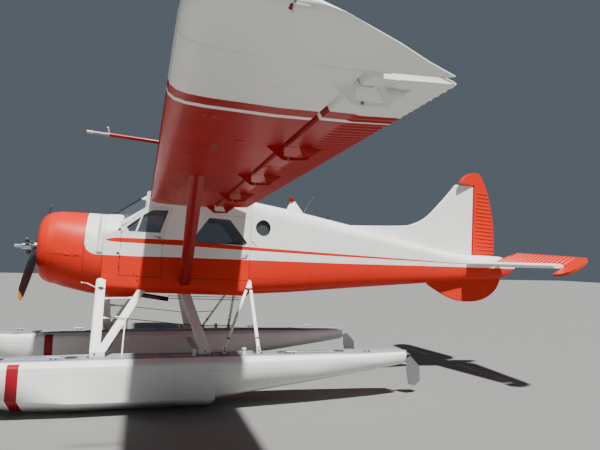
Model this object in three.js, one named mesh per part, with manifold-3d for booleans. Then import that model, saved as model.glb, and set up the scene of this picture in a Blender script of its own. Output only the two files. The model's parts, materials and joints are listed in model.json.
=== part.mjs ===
// High-wing bush floatplane with a radial engine, standing on the keels of its two floats.
// Millimetres, +X towards the nose, +Y to port, +Z up. The airframe is drawn in its own frame,
// whose zero is the wing's leading edge at its root, and sits on the floats nose-up by RIG_ANGLE.
import * as THREE from 'three';
import { mergeVertices } from 'three/addons/utils/BufferGeometryUtils.js';
import Module from 'manifold-3d';

const wasm = await Module();
wasm.setup();

const DEG = Math.PI / 180;
const TOUCH = 0.3;            // gap between pieces that touch
const RUN_GAP = 6;            // gap round a moving panel
const PIN_GAP = 0.5;          // gap at a pin or between hinge leaves
const CUT_PAST = 1;           // how far a cutting body runs past the face it opens

// Stance
const RIG_ANGLE = 1.6 * DEG;
const KEEL_DROP = 2950;       // wing datum above the keels, level frame
const BOW_TIP_X = 2790;
const TAIL_TIP = [-7236, 0, -645];

// Cabin
const CABIN_HALF = 610;
const WALL = 40;
const FIREWALL_X = 640;
const CABIN_REAR_X = -1650;
const ROOF_Z = 190;
const ROOF_THICK = 40;
const ROOF_FRONT_X = 30;
const FLOOR_Z = -1190;
const BELLY_Z = -1410;
const BELLY_RADIUS = 120;
const SHOULDER_Z = -600;      // height where the nose deck turns into the flat side

// Engine and cowling
const THRUST_Z = -770;
const COWL_SKIN = 22;
const COWL_LIP_X = 1600;
const COWL_BREAK_X = 1345;    // nose ring to cowl panels
const COWL_SEAM_Z = -845;
const COWL_REAR_X = 915;
const COWL_ROUND = 2.15;      // roundness of the cowling's sections
const ENGINE_RADIUS = 540;
const PROP_X = 1655;
const HUB_BACK = 64;          // hub's rear face behind the blades' axis
const PROP_RADIUS = 1295;
const PROP_ANGLE = -35 * DEG; // blades parked port side down

// Wing
const HALF_SPAN = 7318;
const DIHEDRAL = 1.3 * DEG;
const COVE_RADIUS = 238;      // hollow in the wing's rear edge round the flap's pivot
const SURFACE_RADIUS = 230;   // nose of flap and aileron round the same pivot
const PIVOT = { x: -1190, z: -60 };
const SURFACE_TAIL_X = -1545;
const FLAP_SPAN = [662, 4190];
const AILERON_SPAN = [4206, 6790];
const TIP_SEAM = 6870;

// Tail
const RUDDER_HINGE_X = -6245;
const TAILPLANE_Z = -665;
const TAIL_HALF_SPAN = 2415;
const ELEVATOR_HINGE_X = -6600;
const RUDDER_REST = 17 * DEG;    // trailing edge to starboard as it is parked
const ELEVATOR_REST = 30 * DEG;  // trailing edge up as it is parked

// Floats
const FLOAT_Y = 1420;
const DECK_Z = 715;
const STEP_X = -950;
const STERN_X = -3980;

// Point of the airframe in the level frame of the floats
function level([x, y, z]) {
  return [
    x * Math.cos(RIG_ANGLE) - z * Math.sin(RIG_ANGLE),
    y,
    x * Math.sin(RIG_ANGLE) + z * Math.cos(RIG_ANGLE) + KEEL_DROP,
  ];
}

// Puts the origin midway between the bow and the tail
const ORIGIN_SHIFT = -(BOW_TIP_X + level(TAIL_TIP)[0]) / 2;

const COLOURS = {
  orange: { color: '#d8431f', roughness: 0.35, metalness: 0 },
  white: { color: '#e9e9e6', roughness: 0.35, metalness: 0 },
  crimson: { color: '#a3161f', roughness: 0.35, metalness: 0 },
  floatGrey: { color: '#c9ccce', roughness: 0.5, metalness: 0.1 },
  metal: { color: '#b9bbbd', roughness: 0.3, metalness: 0.9 },
  darkMetal: { color: '#3c3d3f', roughness: 0.6, metalness: 0.6 },
  black: { color: '#15161a', roughness: 0.5, metalness: 0 },
  glass: { color: '#5d6a72', roughness: 0.05, metalness: 0 },
  trim: { color: '#5b5c60', roughness: 0.8, metalness: 0 },
  leather: { color: '#3a3636', roughness: 0.7, metalness: 0 },
};

// Solids

function merged(geometry) {
  const bare = geometry.clone();
  for (const name of Object.keys(bare.attributes)) {
    if (name !== 'position') bare.deleteAttribute(name);
  }
  return mergeVertices(bare, 1e-4);
}

function toSolid(geometry) {
  const shared = merged(geometry);
  const vertProperties = new Float32Array(shared.attributes.position.array);
  const triVerts = new Uint32Array(shared.index.array);
  return new wasm.Manifold(new wasm.Mesh({ numProp: 3, vertProperties, triVerts }));
}

function toGeometry(solid) {
  const mesh = solid.getMesh();
  const geometry = new THREE.BufferGeometry();
  geometry.setAttribute('position', new THREE.BufferAttribute(new Float32Array(mesh.vertProperties), 3));
  geometry.setIndex(new THREE.BufferAttribute(new Uint32Array(mesh.triVerts), 1));
  return geometry;
}

function unite(...pieces) {
  return toGeometry(pieces.map(toSolid).reduce((whole, piece) => whole.add(piece)));
}

function cut(body, ...tools) {
  return toGeometry(tools.map(toSolid).reduce((left, tool) => left.subtract(tool), toSolid(body)));
}

function common(a, b) {
  return toGeometry(toSolid(a).intersect(toSolid(b)));
}

function mirrored(geometry) {
  const flipped = merged(geometry).scale(1, -1, 1);
  const index = flipped.index.array;
  for (let i = 0; i < index.length; i += 3) {
    const first = index[i];
    index[i] = index[i + 1];
    index[i + 1] = first;
  }
  return flipped;
}

function box(low, high) {
  const size = high.map((value, i) => value - low[i]);
  const middle = high.map((value, i) => (value + low[i]) / 2);
  return new THREE.BoxGeometry(...size).translate(...middle);
}

// Closed body through rings of equally many points, each ring anticlockwise seen from the last one
function loft(rings) {
  const count = rings[0].length;
  const points = rings.flat().flatMap((p) => [p.x, p.y, p.z]);
  const index = [];
  for (let ring = 0; ring + 1 < rings.length; ring += 1) {
    for (let i = 0; i < count; i += 1) {
      const a = ring * count + i;
      const b = ring * count + ((i + 1) % count);
      index.push(a, b, a + count, b, b + count, a + count);
    }
  }
  const last = (rings.length - 1) * count;
  for (const [a, b, c] of capTriangles(rings[0])) index.push(c, b, a);
  for (const [a, b, c] of capTriangles(rings.at(-1))) index.push(last + a, last + b, last + c);
  const geometry = new THREE.BufferGeometry();
  geometry.setAttribute('position', new THREE.Float32BufferAttribute(points, 3));
  geometry.setIndex(index);
  return outward(geometry);
}

function capTriangles(ring) {
  const normal = new THREE.Vector3();
  ring.forEach((p, i) => normal.add(new THREE.Vector3().crossVectors(p, ring[(i + 1) % ring.length])));
  const side = new THREE.Vector3().subVectors(ring[1], ring[0]).normalize();
  const up = new THREE.Vector3().crossVectors(normal.normalize(), side);
  const flat = ring.map((p) => new THREE.Vector2(p.dot(side), p.dot(up)));
  return THREE.ShapeUtils.triangulateShape(flat, []);
}

// Turns every face round when the body's signed volume is negative
function outward(geometry) {
  const place = geometry.attributes.position;
  const index = geometry.index.array;
  const corner = [new THREE.Vector3(), new THREE.Vector3(), new THREE.Vector3()];
  let volume = 0;
  for (let i = 0; i < index.length; i += 3) {
    corner.forEach((p, k) => p.fromBufferAttribute(place, index[i + k]));
    volume += corner[0].dot(corner[1].cross(corner[2]));
  }
  if (volume < 0) {
    for (let i = 0; i < index.length; i += 3) {
      const first = index[i];
      index[i] = index[i + 1];
      index[i + 1] = first;
    }
  }
  return geometry;
}

// Plate whose outline is drawn in X and Z, between two values of Y
function sidePlate(outline, y0, y1, holes = []) {
  const shape = new THREE.Shape(outline.map(([x, z]) => new THREE.Vector2(x, z)));
  for (const hole of holes) {
    shape.holes.push(new THREE.Path(hole.map(([x, z]) => new THREE.Vector2(x, z))));
  }
  const plate = new THREE.ExtrudeGeometry(shape, { depth: y1 - y0, bevelEnabled: false });
  return plate.rotateX(Math.PI / 2).translate(0, y1, 0);
}

// Plate whose outline is drawn in Y and Z, between two values of X
function crossPlate(outline, x0, x1) {
  const shape = new THREE.Shape(outline.map(([y, z]) => new THREE.Vector2(y, z)));
  const plate = new THREE.ExtrudeGeometry(shape, { depth: x1 - x0, bevelEnabled: false });
  return plate.rotateX(Math.PI / 2).rotateZ(Math.PI / 2).translate(x0, 0, 0);
}

// Round bar between two points
function rod(from, to, radius, sides = 12) {
  const a = new THREE.Vector3(...from);
  const b = new THREE.Vector3(...to);
  const bar = new THREE.CylinderGeometry(radius, radius, a.distanceTo(b), sides);
  const turn = new THREE.Quaternion().setFromUnitVectors(
    new THREE.Vector3(0, 1, 0),
    b.clone().sub(a).normalize(),
  );
  const middle = a.clone().add(b).multiplyScalar(0.5);
  return bar.applyQuaternion(turn).translate(middle.x, middle.y, middle.z);
}

// Body of revolution about the thrust line, from rows of [x, radius]
function spun(rows, sides = 24) {
  const profile = rows.map(([x, radius]) => new THREE.Vector2(radius, x));
  const turned = new THREE.LatheGeometry(profile, sides).rotateZ(-Math.PI / 2);
  return outward(merged(turned.translate(0, 0, THRUST_Z)));
}

// Streamlined strut: its ends lie in the planes it is seated on
const STRUT_SECTION = [[0.5, 0], [0.42, 0.3], [0.2, 0.48], [-0.1, 0.42], [-0.5, 0.06]];

function strut(from, to, chord, thick, fromPlane, toPlane) {
  const a = new THREE.Vector3(...from);
  const b = new THREE.Vector3(...to);
  const along = b.clone().sub(a).normalize();
  const ahead = new THREE.Vector3(1, 0, 0);
  ahead.addScaledVector(along, -ahead.dot(along)).normalize();
  const aside = new THREE.Vector3().crossVectors(along, ahead);
  const lower = STRUT_SECTION.slice(1).reverse().map(([x, y]) => [x, -y]);
  const outline = [...STRUT_SECTION, ...lower];
  const ringAt = (end, plane) => outline.map(([u, v]) => {
    const p = end.clone().addScaledVector(ahead, u * chord).addScaledVector(aside, v * thick);
    const normal = new THREE.Vector3(...plane.normal).normalize();
    const lift = normal.dot(end.clone().sub(p)) / normal.dot(along);
    return p.addScaledVector(along, lift + (plane.gap ?? 0) / normal.dot(along));
  });
  return loft([ringAt(a, fromPlane), ringAt(b, toPlane)]);
}

// Ring of a body's section at one X: an upper and a lower half of a rounded box
function bodyRing({ x, top, bottom, middle, half, upper, lower }, steps = 28) {
  const ring = [];
  for (let i = 0; i < steps; i += 1) {
    const turn = (i + 0.5) / steps * 2 * Math.PI;
    const c = Math.cos(turn);
    const s = Math.sin(turn);
    const power = 2 / (s > 0 ? upper : lower);
    const height = s > 0 ? top - middle : middle - bottom;
    const y = half * Math.sign(c) * Math.abs(c) ** power;
    ring.push(new THREE.Vector3(x, y, middle + height * Math.sign(s) * Math.abs(s) ** power));
  }
  return ring;
}

function inset(row, wall) {
  return { ...row, top: row.top - wall, bottom: row.bottom + wall, half: row.half - wall };
}

// Skin through sections listed from the front to the rear, open at both ends
function skinOf(rows, ringOf, skin) {
  const hollow = rows.map((row) => ({ ...row }));
  hollow[0].x += CUT_PAST;
  hollow.at(-1).x -= CUT_PAST;
  return cut(loft(rows.map((row) => ringOf(row, 0))), loft(hollow.map((row) => ringOf(row, skin))));
}

const parts = new THREE.Group();
const airframe = new THREE.Group();
airframe.position.set(ORIGIN_SHIFT, 0, KEEL_DROP);
airframe.rotation.y = -RIG_ANGLE;
const gear = new THREE.Group();
gear.position.set(ORIGIN_SHIFT, 0, 0);
parts.add(airframe, gear);

function add(group, name, geometry, colour) {
  const body = merged(geometry);
  body.computeVertexNormals();
  const mesh = new THREE.Mesh(body, new THREE.MeshStandardMaterial(COLOURS[colour]));
  mesh.name = name;
  group.add(mesh);
  return mesh;
}

function addPair(group, name, geometry, colour) {
  add(group, `${name}_left`, geometry, colour);
  add(group, `${name}_right`, mirrored(geometry), colour);
}

// Cowling: sections from the lip to the firewall

const NOSE_RING = [
  // x, radius: the outside from the rear, round the lip and back along the inside
  [COWL_BREAK_X + TOUCH, 574],
  [1440, 560],
  [1510, 530],
  [1560, 487],
  [1590, 440],
  [COWL_LIP_X, 395],
  [1592, 366],
  [1570, 352],
  [1540, 352],
  [1540, 372],
  [1562, 382],
  [1566, 402],
  [1556, 436],
  [1530, 472],
  [1486, 508],
  [1424, 534],
  [COWL_BREAK_X + TOUCH, 549],
];

const COWL_ROWS = [
  { x: COWL_BREAK_X, top: -193, bottom: -1347, half: 577 },
  { x: 1220, top: -190, bottom: -1385, half: 595 },
  { x: COWL_REAR_X, top: -187, bottom: -1455, half: 612 },
  { x: 880, top: -187, bottom: -1462, half: 612 },
  { x: FIREWALL_X + TOUCH, top: -190, bottom: -1500, half: CABIN_HALF },
];

function cowlRing(row, wall) {
  const middle = (row.top + row.bottom) / 2;
  return bodyRing(inset({ ...row, middle, upper: COWL_ROUND, lower: COWL_ROUND }, wall), 32);
}

function buildCowling() {
  add(airframe, 'nose_ring', spun([...NOSE_RING, NOSE_RING[0]], 32), 'orange');
  const skin = skinOf(COWL_ROWS.slice(0, 3), cowlRing, COWL_SKIN);
  const rear = COWL_REAR_X - 100;
  const front = COWL_BREAK_X + 100;
  const upper = box([rear, -900, COWL_SEAM_Z + TOUCH / 2], [front, 900, 100]);
  const lower = box([rear, -900, -1700], [front, 900, COWL_SEAM_Z - TOUCH / 2]);
  add(airframe, 'cowl_upper', common(skin, upper), 'orange');
  add(airframe, 'cowl_lower', common(skin, lower), 'orange');
  const behind = [{ ...COWL_ROWS[2], x: COWL_REAR_X - TOUCH }, ...COWL_ROWS.slice(3)];
  add(airframe, 'accessory_cowl', skinOf(behind, cowlRing, COWL_SKIN), 'white');
}

// Nine-cylinder radial engine: crankcase, nose case, cylinders and the block of accessories behind
const CYLINDERS = 9;
const CYLINDER_X = 1240;
const CYLINDER_FOOT = 150;
const ENGINE_BACK_X = FIREWALL_X + 26;
const FIREWALL_INSET = 34;
const HUB_FACE_X = PROP_X - HUB_BACK - PIN_GAP;
const CRANKCASE = [
  // x, radius
  [ENGINE_BACK_X, 0],
  [ENGINE_BACK_X, 330],
  [1080, 330],
  [1100, 250],
  [1400, 250],
  [1430, 200],
  [1520, 150],
  [1570, 100],
  [HUB_FACE_X, 74],
  [HUB_FACE_X, 0],
];

function buildEngine() {
  const pieces = [spun(CRANKCASE)];
  for (let i = 0; i < CYLINDERS; i += 1) {
    const barrel = new THREE.CylinderGeometry(84, 78, ENGINE_RADIUS - CYLINDER_FOOT, 12);
    barrel.translate(0, (ENGINE_RADIUS + CYLINDER_FOOT) / 2, 0);
    const head = new THREE.BoxGeometry(150, 60, 150).translate(0, ENGINE_RADIUS - 40, 0);
    for (const piece of [barrel, head]) {
      piece.rotateX(Math.PI / 2 + (i / CYLINDERS) * 2 * Math.PI);
      pieces.push(piece.translate(CYLINDER_X, 0, THRUST_Z));
    }
  }
  add(airframe, 'engine', unite(...pieces), 'darkMetal');
  const outline = cowlRing(COWL_ROWS.at(-1), FIREWALL_INSET).map((p) => [p.y, p.z]);
  add(airframe, 'firewall', crossPlate(outline, FIREWALL_X + TOUCH, ENGINE_BACK_X - TOUCH), 'metal');
}

// Two-blade propeller on a bracket hub with its counterweights
const SLEEVE_END = 98;
const HUB_ROWS = [
  // x, radius, back to the tip of the dome
  [-HUB_BACK, 0],
  [-HUB_BACK, 74],
  [85, 74],
  [100, 52],
  [215, 52],
  [225, 27],
  [327, 27],
  [331, 0],
];
const COUNTERWEIGHT = { root: [40, 20, 60], end: [70, 30, 130], low: [45, -5, 107], high: [110, 85, 163] };
const BLADE_ROWS = [
  // radius, chord, thick, pitch in degrees
  [SLEEVE_END + TOUCH, 92, 92, 45],
  [210, 96, 80, 45],
  [360, 142, 48, 40],
  [640, 182, 28, 28],
  [960, 184, 18, 22],
  [1180, 164, 13, 19],
  [1265, 128, 9, 18],
  [PROP_RADIUS, 70, 6, 18],
];

function bladeRing([radius, chord, thick, pitch]) {
  const steps = 12;
  const ring = [];
  for (let i = 0; i < steps; i += 1) {
    const turn = (i / steps) * 2 * Math.PI;
    const u = (Math.cos(turn) * chord) / 2;
    const v = (Math.sin(turn) * thick) / 2;
    const lean = pitch * DEG;
    ring.push(new THREE.Vector3(
      u * Math.sin(lean) + v * Math.cos(lean),
      radius,
      u * Math.cos(lean) - v * Math.sin(lean),
    ));
  }
  return ring;
}

function buildPropeller() {
  const hub = new THREE.Group();
  hub.position.set(PROP_X, 0, THRUST_Z);
  hub.rotation.x = PROP_ANGLE;
  airframe.add(hub);
  const dome = spun(HUB_ROWS, 20).translate(0, 0, -THRUST_Z);
  const sleeve = rod([0, -SLEEVE_END, 0], [0, SLEEVE_END, 0], 62, 16);
  const { root, end, low, high } = COUNTERWEIGHT;
  const weight = unite(rod(root, end, 16, 8), box(low, high));
  add(hub, 'propeller_hub', unite(dome, sleeve, weight, weight.clone().rotateX(Math.PI)), 'metal');
  const blade = loft(BLADE_ROWS.map(bladeRing));
  add(hub, 'propeller_blade_1', blade, 'black');
  add(hub, 'propeller_blade_2', blade.clone().rotateX(Math.PI), 'black');
}

// Cabin

const FRONT_DOOR = {
  name: 'front_door',
  hinge: 388,
  knuckles: [-1010, -840, -475],
  outline: [[385, -1150], [385, -410], [20, -70], [-345, -70], [-235, -480], [-235, -1150]],
  window: [[318, -398], [96, -208], [76, -190], [-68, -110], [-300, -100], [-190, -462], [280, -462]],
};

const CABIN_DOOR = {
  name: 'cabin_door',
  hinge: -657,
  knuckles: [-1020, -330],
  outline: [[-660, -1150], [-660, -118], [-1637, -118], [-1637, -1150]],
  window: [[-705, -520], [-730, -580], [-1540, -580], [-1586, -540], [-1282, -180], [-947, -168]],
};

const KNUCKLE_LENGTH = 45;
const KNUCKLE_RADIUS = 9;
const HINGE_Y = CABIN_HALF + KNUCKLE_RADIUS;

// Outline moved outwards by a distance, corner by corner
function grown(outline, by) {
  const count = outline.length;
  const centre = outline.reduce(([x, z], p) => [x + p[0] / count, z + p[1] / count], [0, 0]);
  const lines = outline.map((p, i) => {
    const q = outline[(i + 1) % count];
    const normal = new THREE.Vector2(q[1] - p[1], p[0] - q[0]).normalize();
    if (normal.x * (p[0] - centre[0]) + normal.y * (p[1] - centre[1]) < 0) normal.negate();
    return { normal, offset: normal.x * p[0] + normal.y * p[1] + by };
  });
  return lines.map((line, i) => {
    const before = lines[(i + count - 1) % count];
    const det = before.normal.x * line.normal.y - before.normal.y * line.normal.x;
    return [
      (before.offset * line.normal.y - line.offset * before.normal.y) / det,
      (before.normal.x * line.offset - line.normal.x * before.offset) / det,
    ];
  });
}

const WALL_OUTLINE = [
  [FIREWALL_X, FLOOR_Z + TOUCH],
  [FIREWALL_X, SHOULDER_Z],
  [425, -430],
  [ROOF_FRONT_X, -62],
  [ROOF_FRONT_X, ROOF_Z - ROOF_THICK - TOUCH],
  [CABIN_REAR_X, ROOF_Z - ROOF_THICK - TOUCH],
  [CABIN_REAR_X, FLOOR_Z + TOUCH],
];

// Barrel of one half of a hinge and the leaf that carries it
function hingeHalf(x, low, leafFrom, leafTo) {
  const high = low + KNUCKLE_LENGTH;
  return [
    rod([x, HINGE_Y, low], [x, HINGE_Y, high], KNUCKLE_RADIUS, 10),
    box([x + leafFrom, CABIN_HALF - 5, low], [x + leafTo, CABIN_HALF + 4, high]),
  ];
}

function buildSides() {
  const inside = CABIN_HALF - WALL;
  const doors = [FRONT_DOOR, CABIN_DOOR];
  const openings = doors.map(({ outline }) => grown(outline, RUN_GAP));
  const wall = sidePlate(WALL_OUTLINE, inside, CABIN_HALF, openings);
  const fixed = [];
  for (const { name, hinge, knuckles, outline, window } of doors) {
    const panel = sidePlate(outline, inside, CABIN_HALF, [window]);
    const hung = [];
    for (const low of knuckles) {
      hung.push(...hingeHalf(hinge, low, -40, -3));
      fixed.push(...hingeHalf(hinge, low + KNUCKLE_LENGTH + PIN_GAP, 2, 38));
    }
    const glass = sidePlate(grown(window, -TOUCH), inside + 14, inside + 20);
    addPair(airframe, name, unite(panel, ...hung), 'white');
    addPair(airframe, `${name}_glass`, glass, 'glass');
  }
  addPair(airframe, 'side_wall', unite(wall, ...fixed), 'white');
}

function floorOutline() {
  const outline = [[CABIN_HALF, FLOOR_Z]];
  const arc = 5;
  for (let i = 0; i <= arc; i += 1) {
    const turn = (i / arc) * Math.PI / 2;
    outline.push([
      CABIN_HALF - BELLY_RADIUS + BELLY_RADIUS * Math.cos(turn),
      BELLY_Z + BELLY_RADIUS - BELLY_RADIUS * Math.sin(turn),
    ]);
  }
  const port = outline.map(([y, z]) => [-y, z]).reverse();
  return [...outline, ...port];
}

// Fairing under the front of the belly, round the engine's outlet
const BELLY_FAIRING = [
  // x, depth below the belly, half width
  [FIREWALL_X, 90, 400],
  [500, 112, 400],
  [210, 104, 360],
  [30, 4, 260],
];

function bellyFairing(by) {
  return loft(BELLY_FAIRING.map(([x, depth, half]) => bodyRing({
    x, top: BELLY_Z + 60, middle: BELLY_Z, bottom: BELLY_Z - depth - by, half, upper: 2, lower: 2.4,
  }, 20)));
}

function buildFloorAndRoof() {
  const slab = crossPlate(floorOutline(), CABIN_REAR_X, FIREWALL_X);
  add(airframe, 'cabin_floor', unite(slab, bellyFairing(0)), 'orange');
  const middle = ROOF_Z - ROOF_THICK / 2;
  const roof = { top: ROOF_Z, bottom: ROOF_Z - ROOF_THICK, middle, half: CABIN_HALF, upper: 6, lower: 12 };
  const rings = [ROOF_FRONT_X, CABIN_REAR_X].map((x) => bodyRing({ ...roof, x }));
  add(airframe, 'cabin_roof', loft(rings), 'white');
}

// Exhaust pipe out of the fairing's rear slope, open at its rear end
const EXHAUST = {
  y: -120, front: [215, -1462], rear: [-422, -1545], radius: 39, bore: 34, mouth: [-150, -1509],
};

function buildExhaust() {
  const { y, front, rear, radius, bore, mouth } = EXHAUST;
  const at = ([x, z]) => [x, y, z];
  const beyond = [rear[0] + (rear[0] - mouth[0]) / 10, rear[1] + (rear[1] - mouth[1]) / 10];
  const pipe = rod(at(front), at(rear), radius, 16);
  const hollow = rod(at(mouth), at(beyond), bore, 16);
  add(airframe, 'exhaust_pipe', cut(pipe, hollow, bellyFairing(TOUCH)), 'darkMetal');
}

// Windscreen: two flat panes that meet on the centre line and lean back and outwards
const PANE_NORMAL = new THREE.Vector3(0.145, 0.095, 0.1985).normalize();
const PANE_FOOT = new THREE.Vector3(557, 0, -180);
const FRAME_THICK = 34;

// Outline given as [x, y] on the pane's outer face, made a slab of the thickness below it
function paneSlab(outline, from, to) {
  const ringAt = (depth) => outline.map(([x, y]) => {
    const n = PANE_NORMAL;
    const z = PANE_FOOT.z - (n.x * (x - PANE_FOOT.x) + n.y * (y - PANE_FOOT.y)) / n.z;
    return new THREE.Vector3(x, y, z).addScaledVector(n, -depth);
  });
  return loft([ringAt(from), ringAt(to)]);
}

const SCREEN_OUTLINE = [[600, -60], [398, 560], [398, 640], [-40, 640], [-40, -60]];
const SCREEN_GLASS = [[530, 16], [414, 502], [56, 548], [56, 215], [148, 16]];

function nearSide(geometry) {
  return common(geometry, box([-400, 0, -900], [900, CABIN_HALF, 400]));
}

function buildWindscreen() {
  const half = nearSide(paneSlab(SCREEN_OUTLINE, 0, FRAME_THICK));
  const hole = paneSlab(SCREEN_GLASS, -30, FRAME_THICK + 60);
  const limits = box([ROOF_FRONT_X + TOUCH, -CUT_PAST, -420], [600, CABIN_HALF - WALL - TOUCH, ROOF_Z]);
  const framed = common(cut(half, hole), limits);
  const deck = deckSolid();
  add(airframe, 'windscreen_frame', cut(unite(framed, mirrored(framed)), deck), 'white');
  const pane = cut(paneSlab(grown(SCREEN_GLASS, -TOUCH), 12, 18), deck);
  addPair(airframe, 'windscreen', pane, 'glass');
}

// Deck between the firewall and the windscreen, over the instrument panel
const DECK_ROWS = [
  { x: FIREWALL_X, top: -190 },
  { x: 560, top: -181 },
  { x: 300, top: -168 },
];
const DECK_SKIN = 30;
const DECK_SIDE = [
  // x, z: what the deck covers, seen from the side
  [FIREWALL_X + 5, SHOULDER_Z + TOUCH],
  [FIREWALL_X + 5, 100],
  [290, 100],
  [290, -300],
  [425, -430 + TOUCH],
];

function deckRing(row, wall) {
  const whole = { ...row, bottom: -1200, middle: SHOULDER_Z, half: CABIN_HALF, upper: 2.3, lower: 2.3 };
  return bodyRing(inset(whole, wall), 36);
}

function deckSolid() {
  return loft(DECK_ROWS.map((row) => deckRing(row, -CUT_PAST)));
}

function buildDeck() {
  const skin = skinOf(DECK_ROWS, deckRing, DECK_SKIN);
  add(airframe, 'nose_deck', common(skin, sidePlate(DECK_SIDE, -700, 700)), 'white');
}

const PANEL_OUTLINE = [[-420, -335], [420, -335], [535, -560], [-535, -560]];
const COLUMN_X = 260;
const YOKE_HALF = 330;
const SEAT_BOXES = [
  // low corner, high corner: base, seat pan, backrest
  [[-330, 80, FLOOR_Z + TOUCH], [60, 500, -1080]],
  [[-360, 60, -1085], [90, 520, -960]],
  [[-450, 60, -1000], [-340, 520, -420]],
];
const BENCH_BOXES = [
  [[-1420, -500, FLOOR_Z + TOUCH], [-1000, 500, -1050]],
  [[-1440, -520, -1055], [-960, 520, -940]],
  [[-1530, -520, -1000], [-1420, 520, -470]],
];

function joinedBoxes(rows) {
  return unite(...rows.map(([low, high]) => box(low, high)));
}

function buildInterior() {
  const panel = crossPlate(PANEL_OUTLINE, 330, 352);
  const column = rod([COLUMN_X, 0, FLOOR_Z + TOUCH], [COLUMN_X, 0, -640], 22);
  const arm = rod([COLUMN_X, 0, -645], [340, 0, -500], 20);
  const yoke = rod([225, -YOKE_HALF, -620], [225, YOKE_HALF, -620], 14);
  const boss = rod([215, 0, -625], [COLUMN_X + 15, 0, -625], 30);
  add(airframe, 'instrument_panel', unite(panel, column, arm, yoke, boss), 'black');
  addPair(airframe, 'seat', joinedBoxes(SEAT_BOXES), 'leather');
  add(airframe, 'cabin_bench', joinedBoxes(BENCH_BOXES), 'leather');
}

// Rear fuselage

const REAR_ROWS = [
  // x, top, bottom, middle, half, upper, lower
  [CABIN_REAR_X - TOUCH, 180, -1395, -300, CABIN_HALF, 6, 6],
  [-2400, 98, -1345, -330, 545, 4, 5],
  [-3550, -82, -1232, -400, 425, 3.2, 4.4],
  [-4730, -318, -1120, -520, 300, 2.8, 4],
  [-5600, -455, -1040, -640, 205, 2.4, 3.4],
  [-5950, -490, -1005, -678, 170, 2.2, 3],
];

const CONE_ROWS = [
  [-5950 - TOUCH, -490, -1005, -678, 170, 2.2, 3],
  [-6250, -490, -985, -690, 145, 2.2, 3],
  [-6550, -488, -965, -700, 120, 2.2, 2.6],
  [-6860, -490, -935, -715, 100, 2.2, 2.4],
  [-7060, -545, -860, -700, 80, 2.1, 2.2],
  [-7205, -610, -755, -680, 45, 2, 2],
  [-7236, -645, -705, -675, 18, 2, 2],
];

function bodyRow([x, top, bottom, middle, half, upper, lower]) {
  return { x, top, bottom, middle, half, upper, lower };
}

// Both tail bodies, grown by a little, for cutting what stands on them; they run into each other
function tailBodies(by) {
  return [REAR_ROWS, CONE_ROWS].map((rows) => {
    const grownRows = rows.map((row) => inset(bodyRow(row), -by));
    grownRows[0].x += CUT_PAST;
    grownRows.at(-1).x -= CUT_PAST;
    return loft(grownRows.map((row) => bodyRing(row)));
  });
}

const PORTHOLE = { x: -1836, z: -272, radius: 122, half: 552 };
const BEACON_ROWS = [
  // x, top
  [-2370, 100],
  [-2440, 265],
  [-2530, 290],
  [-2690, 75],
];
const BAY_FRONT = [CABIN_REAR_X + 50, 185, -1400, -300, CABIN_HALF, 6, 6];

function buildRearFuselage() {
  const solid = loft(REAR_ROWS.map((row) => bodyRing(bodyRow(row))));
  const bay = loft([BAY_FRONT, ...REAR_ROWS.slice(1, 4)].map((row) => bodyRing(inset(bodyRow(row), WALL))));
  const { x, z, radius, half } = PORTHOLE;
  const port = rod([x, -900, z], [x, 900, z], radius, 24);
  const beacon = loft(BEACON_ROWS.map(([at, top]) => (
    bodyRing({ x: at, top, bottom: 40, middle: 50, half: 55, upper: 2, lower: 2 }, 12)
  )));
  add(airframe, 'rear_fuselage', cut(unite(cut(solid, bay), beacon), port), 'white');
  const glass = rod([x, half, z], [x, half + 6, z], radius - TOUCH, 24);
  addPair(airframe, 'porthole_glass', glass, 'glass');
}

function buildTailCone() {
  const cone = loft(CONE_ROWS.map((row) => bodyRing(bodyRow(row))));
  const bore = rod(
    [ELEVATOR_HINGE_X, -300, TAILPLANE_Z],
    [ELEVATOR_HINGE_X, 300, TAILPLANE_Z],
    ELEVATOR_TUBE + PIN_GAP,
    16,
  );
  add(airframe, 'tail_cone', cut(cone, bore, tailplaneBody(TOUCH)), 'orange');
}

// Fin, rudder and the sea fin below the tail

const FIN_THICK = 60;
const FIN_OUTLINE = [
  [-3585, -140], [-3585, -77], [-4626, -15], [-4932, 53], [-5188, 197], [-5444, 457], [-5652, 690],
  [-5800, 868], [-5837, 884], [-6205, 884], [-6205, -525], [-5600, -500], [-4730, -355],
];

const RUDDER_FOOT_Z = -490.8;
const RUDDER_OUTLINE = [
  // distance behind the hinge, height
  [-440, 898], [-395, 970], [-284, 1063], [-140, 1128], [0, 1158], [90, 1150], [163, 1119], [357, 861],
  [483, 574], [589, 234], [638, -107], [655, -401], [655, -465], [0, -465], [-28, -440], [-28, 898],
];

const SEA_FIN_OUTLINE = [
  [-5240, -1040], [-5270, -1113], [-5552, -1267], [-5750, -1350], [-5960, -1408], [-6287, -1410],
  [-6560, -1327], [-6783, -1154], [-6890, -930], [-6500, -930], [-6150, -950],
];

function buildFins() {
  const bodies = tailBodies(0.6);
  const fin = sidePlate(FIN_OUTLINE, -FIN_THICK / 2, FIN_THICK / 2);
  add(airframe, 'fin', cut(fin, ...bodies), 'white');
  const seaFin = sidePlate(SEA_FIN_OUTLINE, -22, 22);
  add(airframe, 'sea_fin', cut(seaFin, ...bodies), 'orange');
  const turned = new THREE.Group();
  turned.position.set(RUDDER_HINGE_X, 0, 0);
  turned.rotation.z = RUDDER_REST;
  airframe.add(turned);
  const blade = sidePlate(RUDDER_OUTLINE.map(([back, z]) => [-back, z]), -FIN_THICK / 2, FIN_THICK / 2);
  const post = rod([0, 0, RUDDER_FOOT_Z], [0, 0, -440], 16);
  add(turned, 'rudder', unite(blade, post), 'orange');
}

// Tailplane and elevator

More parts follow.
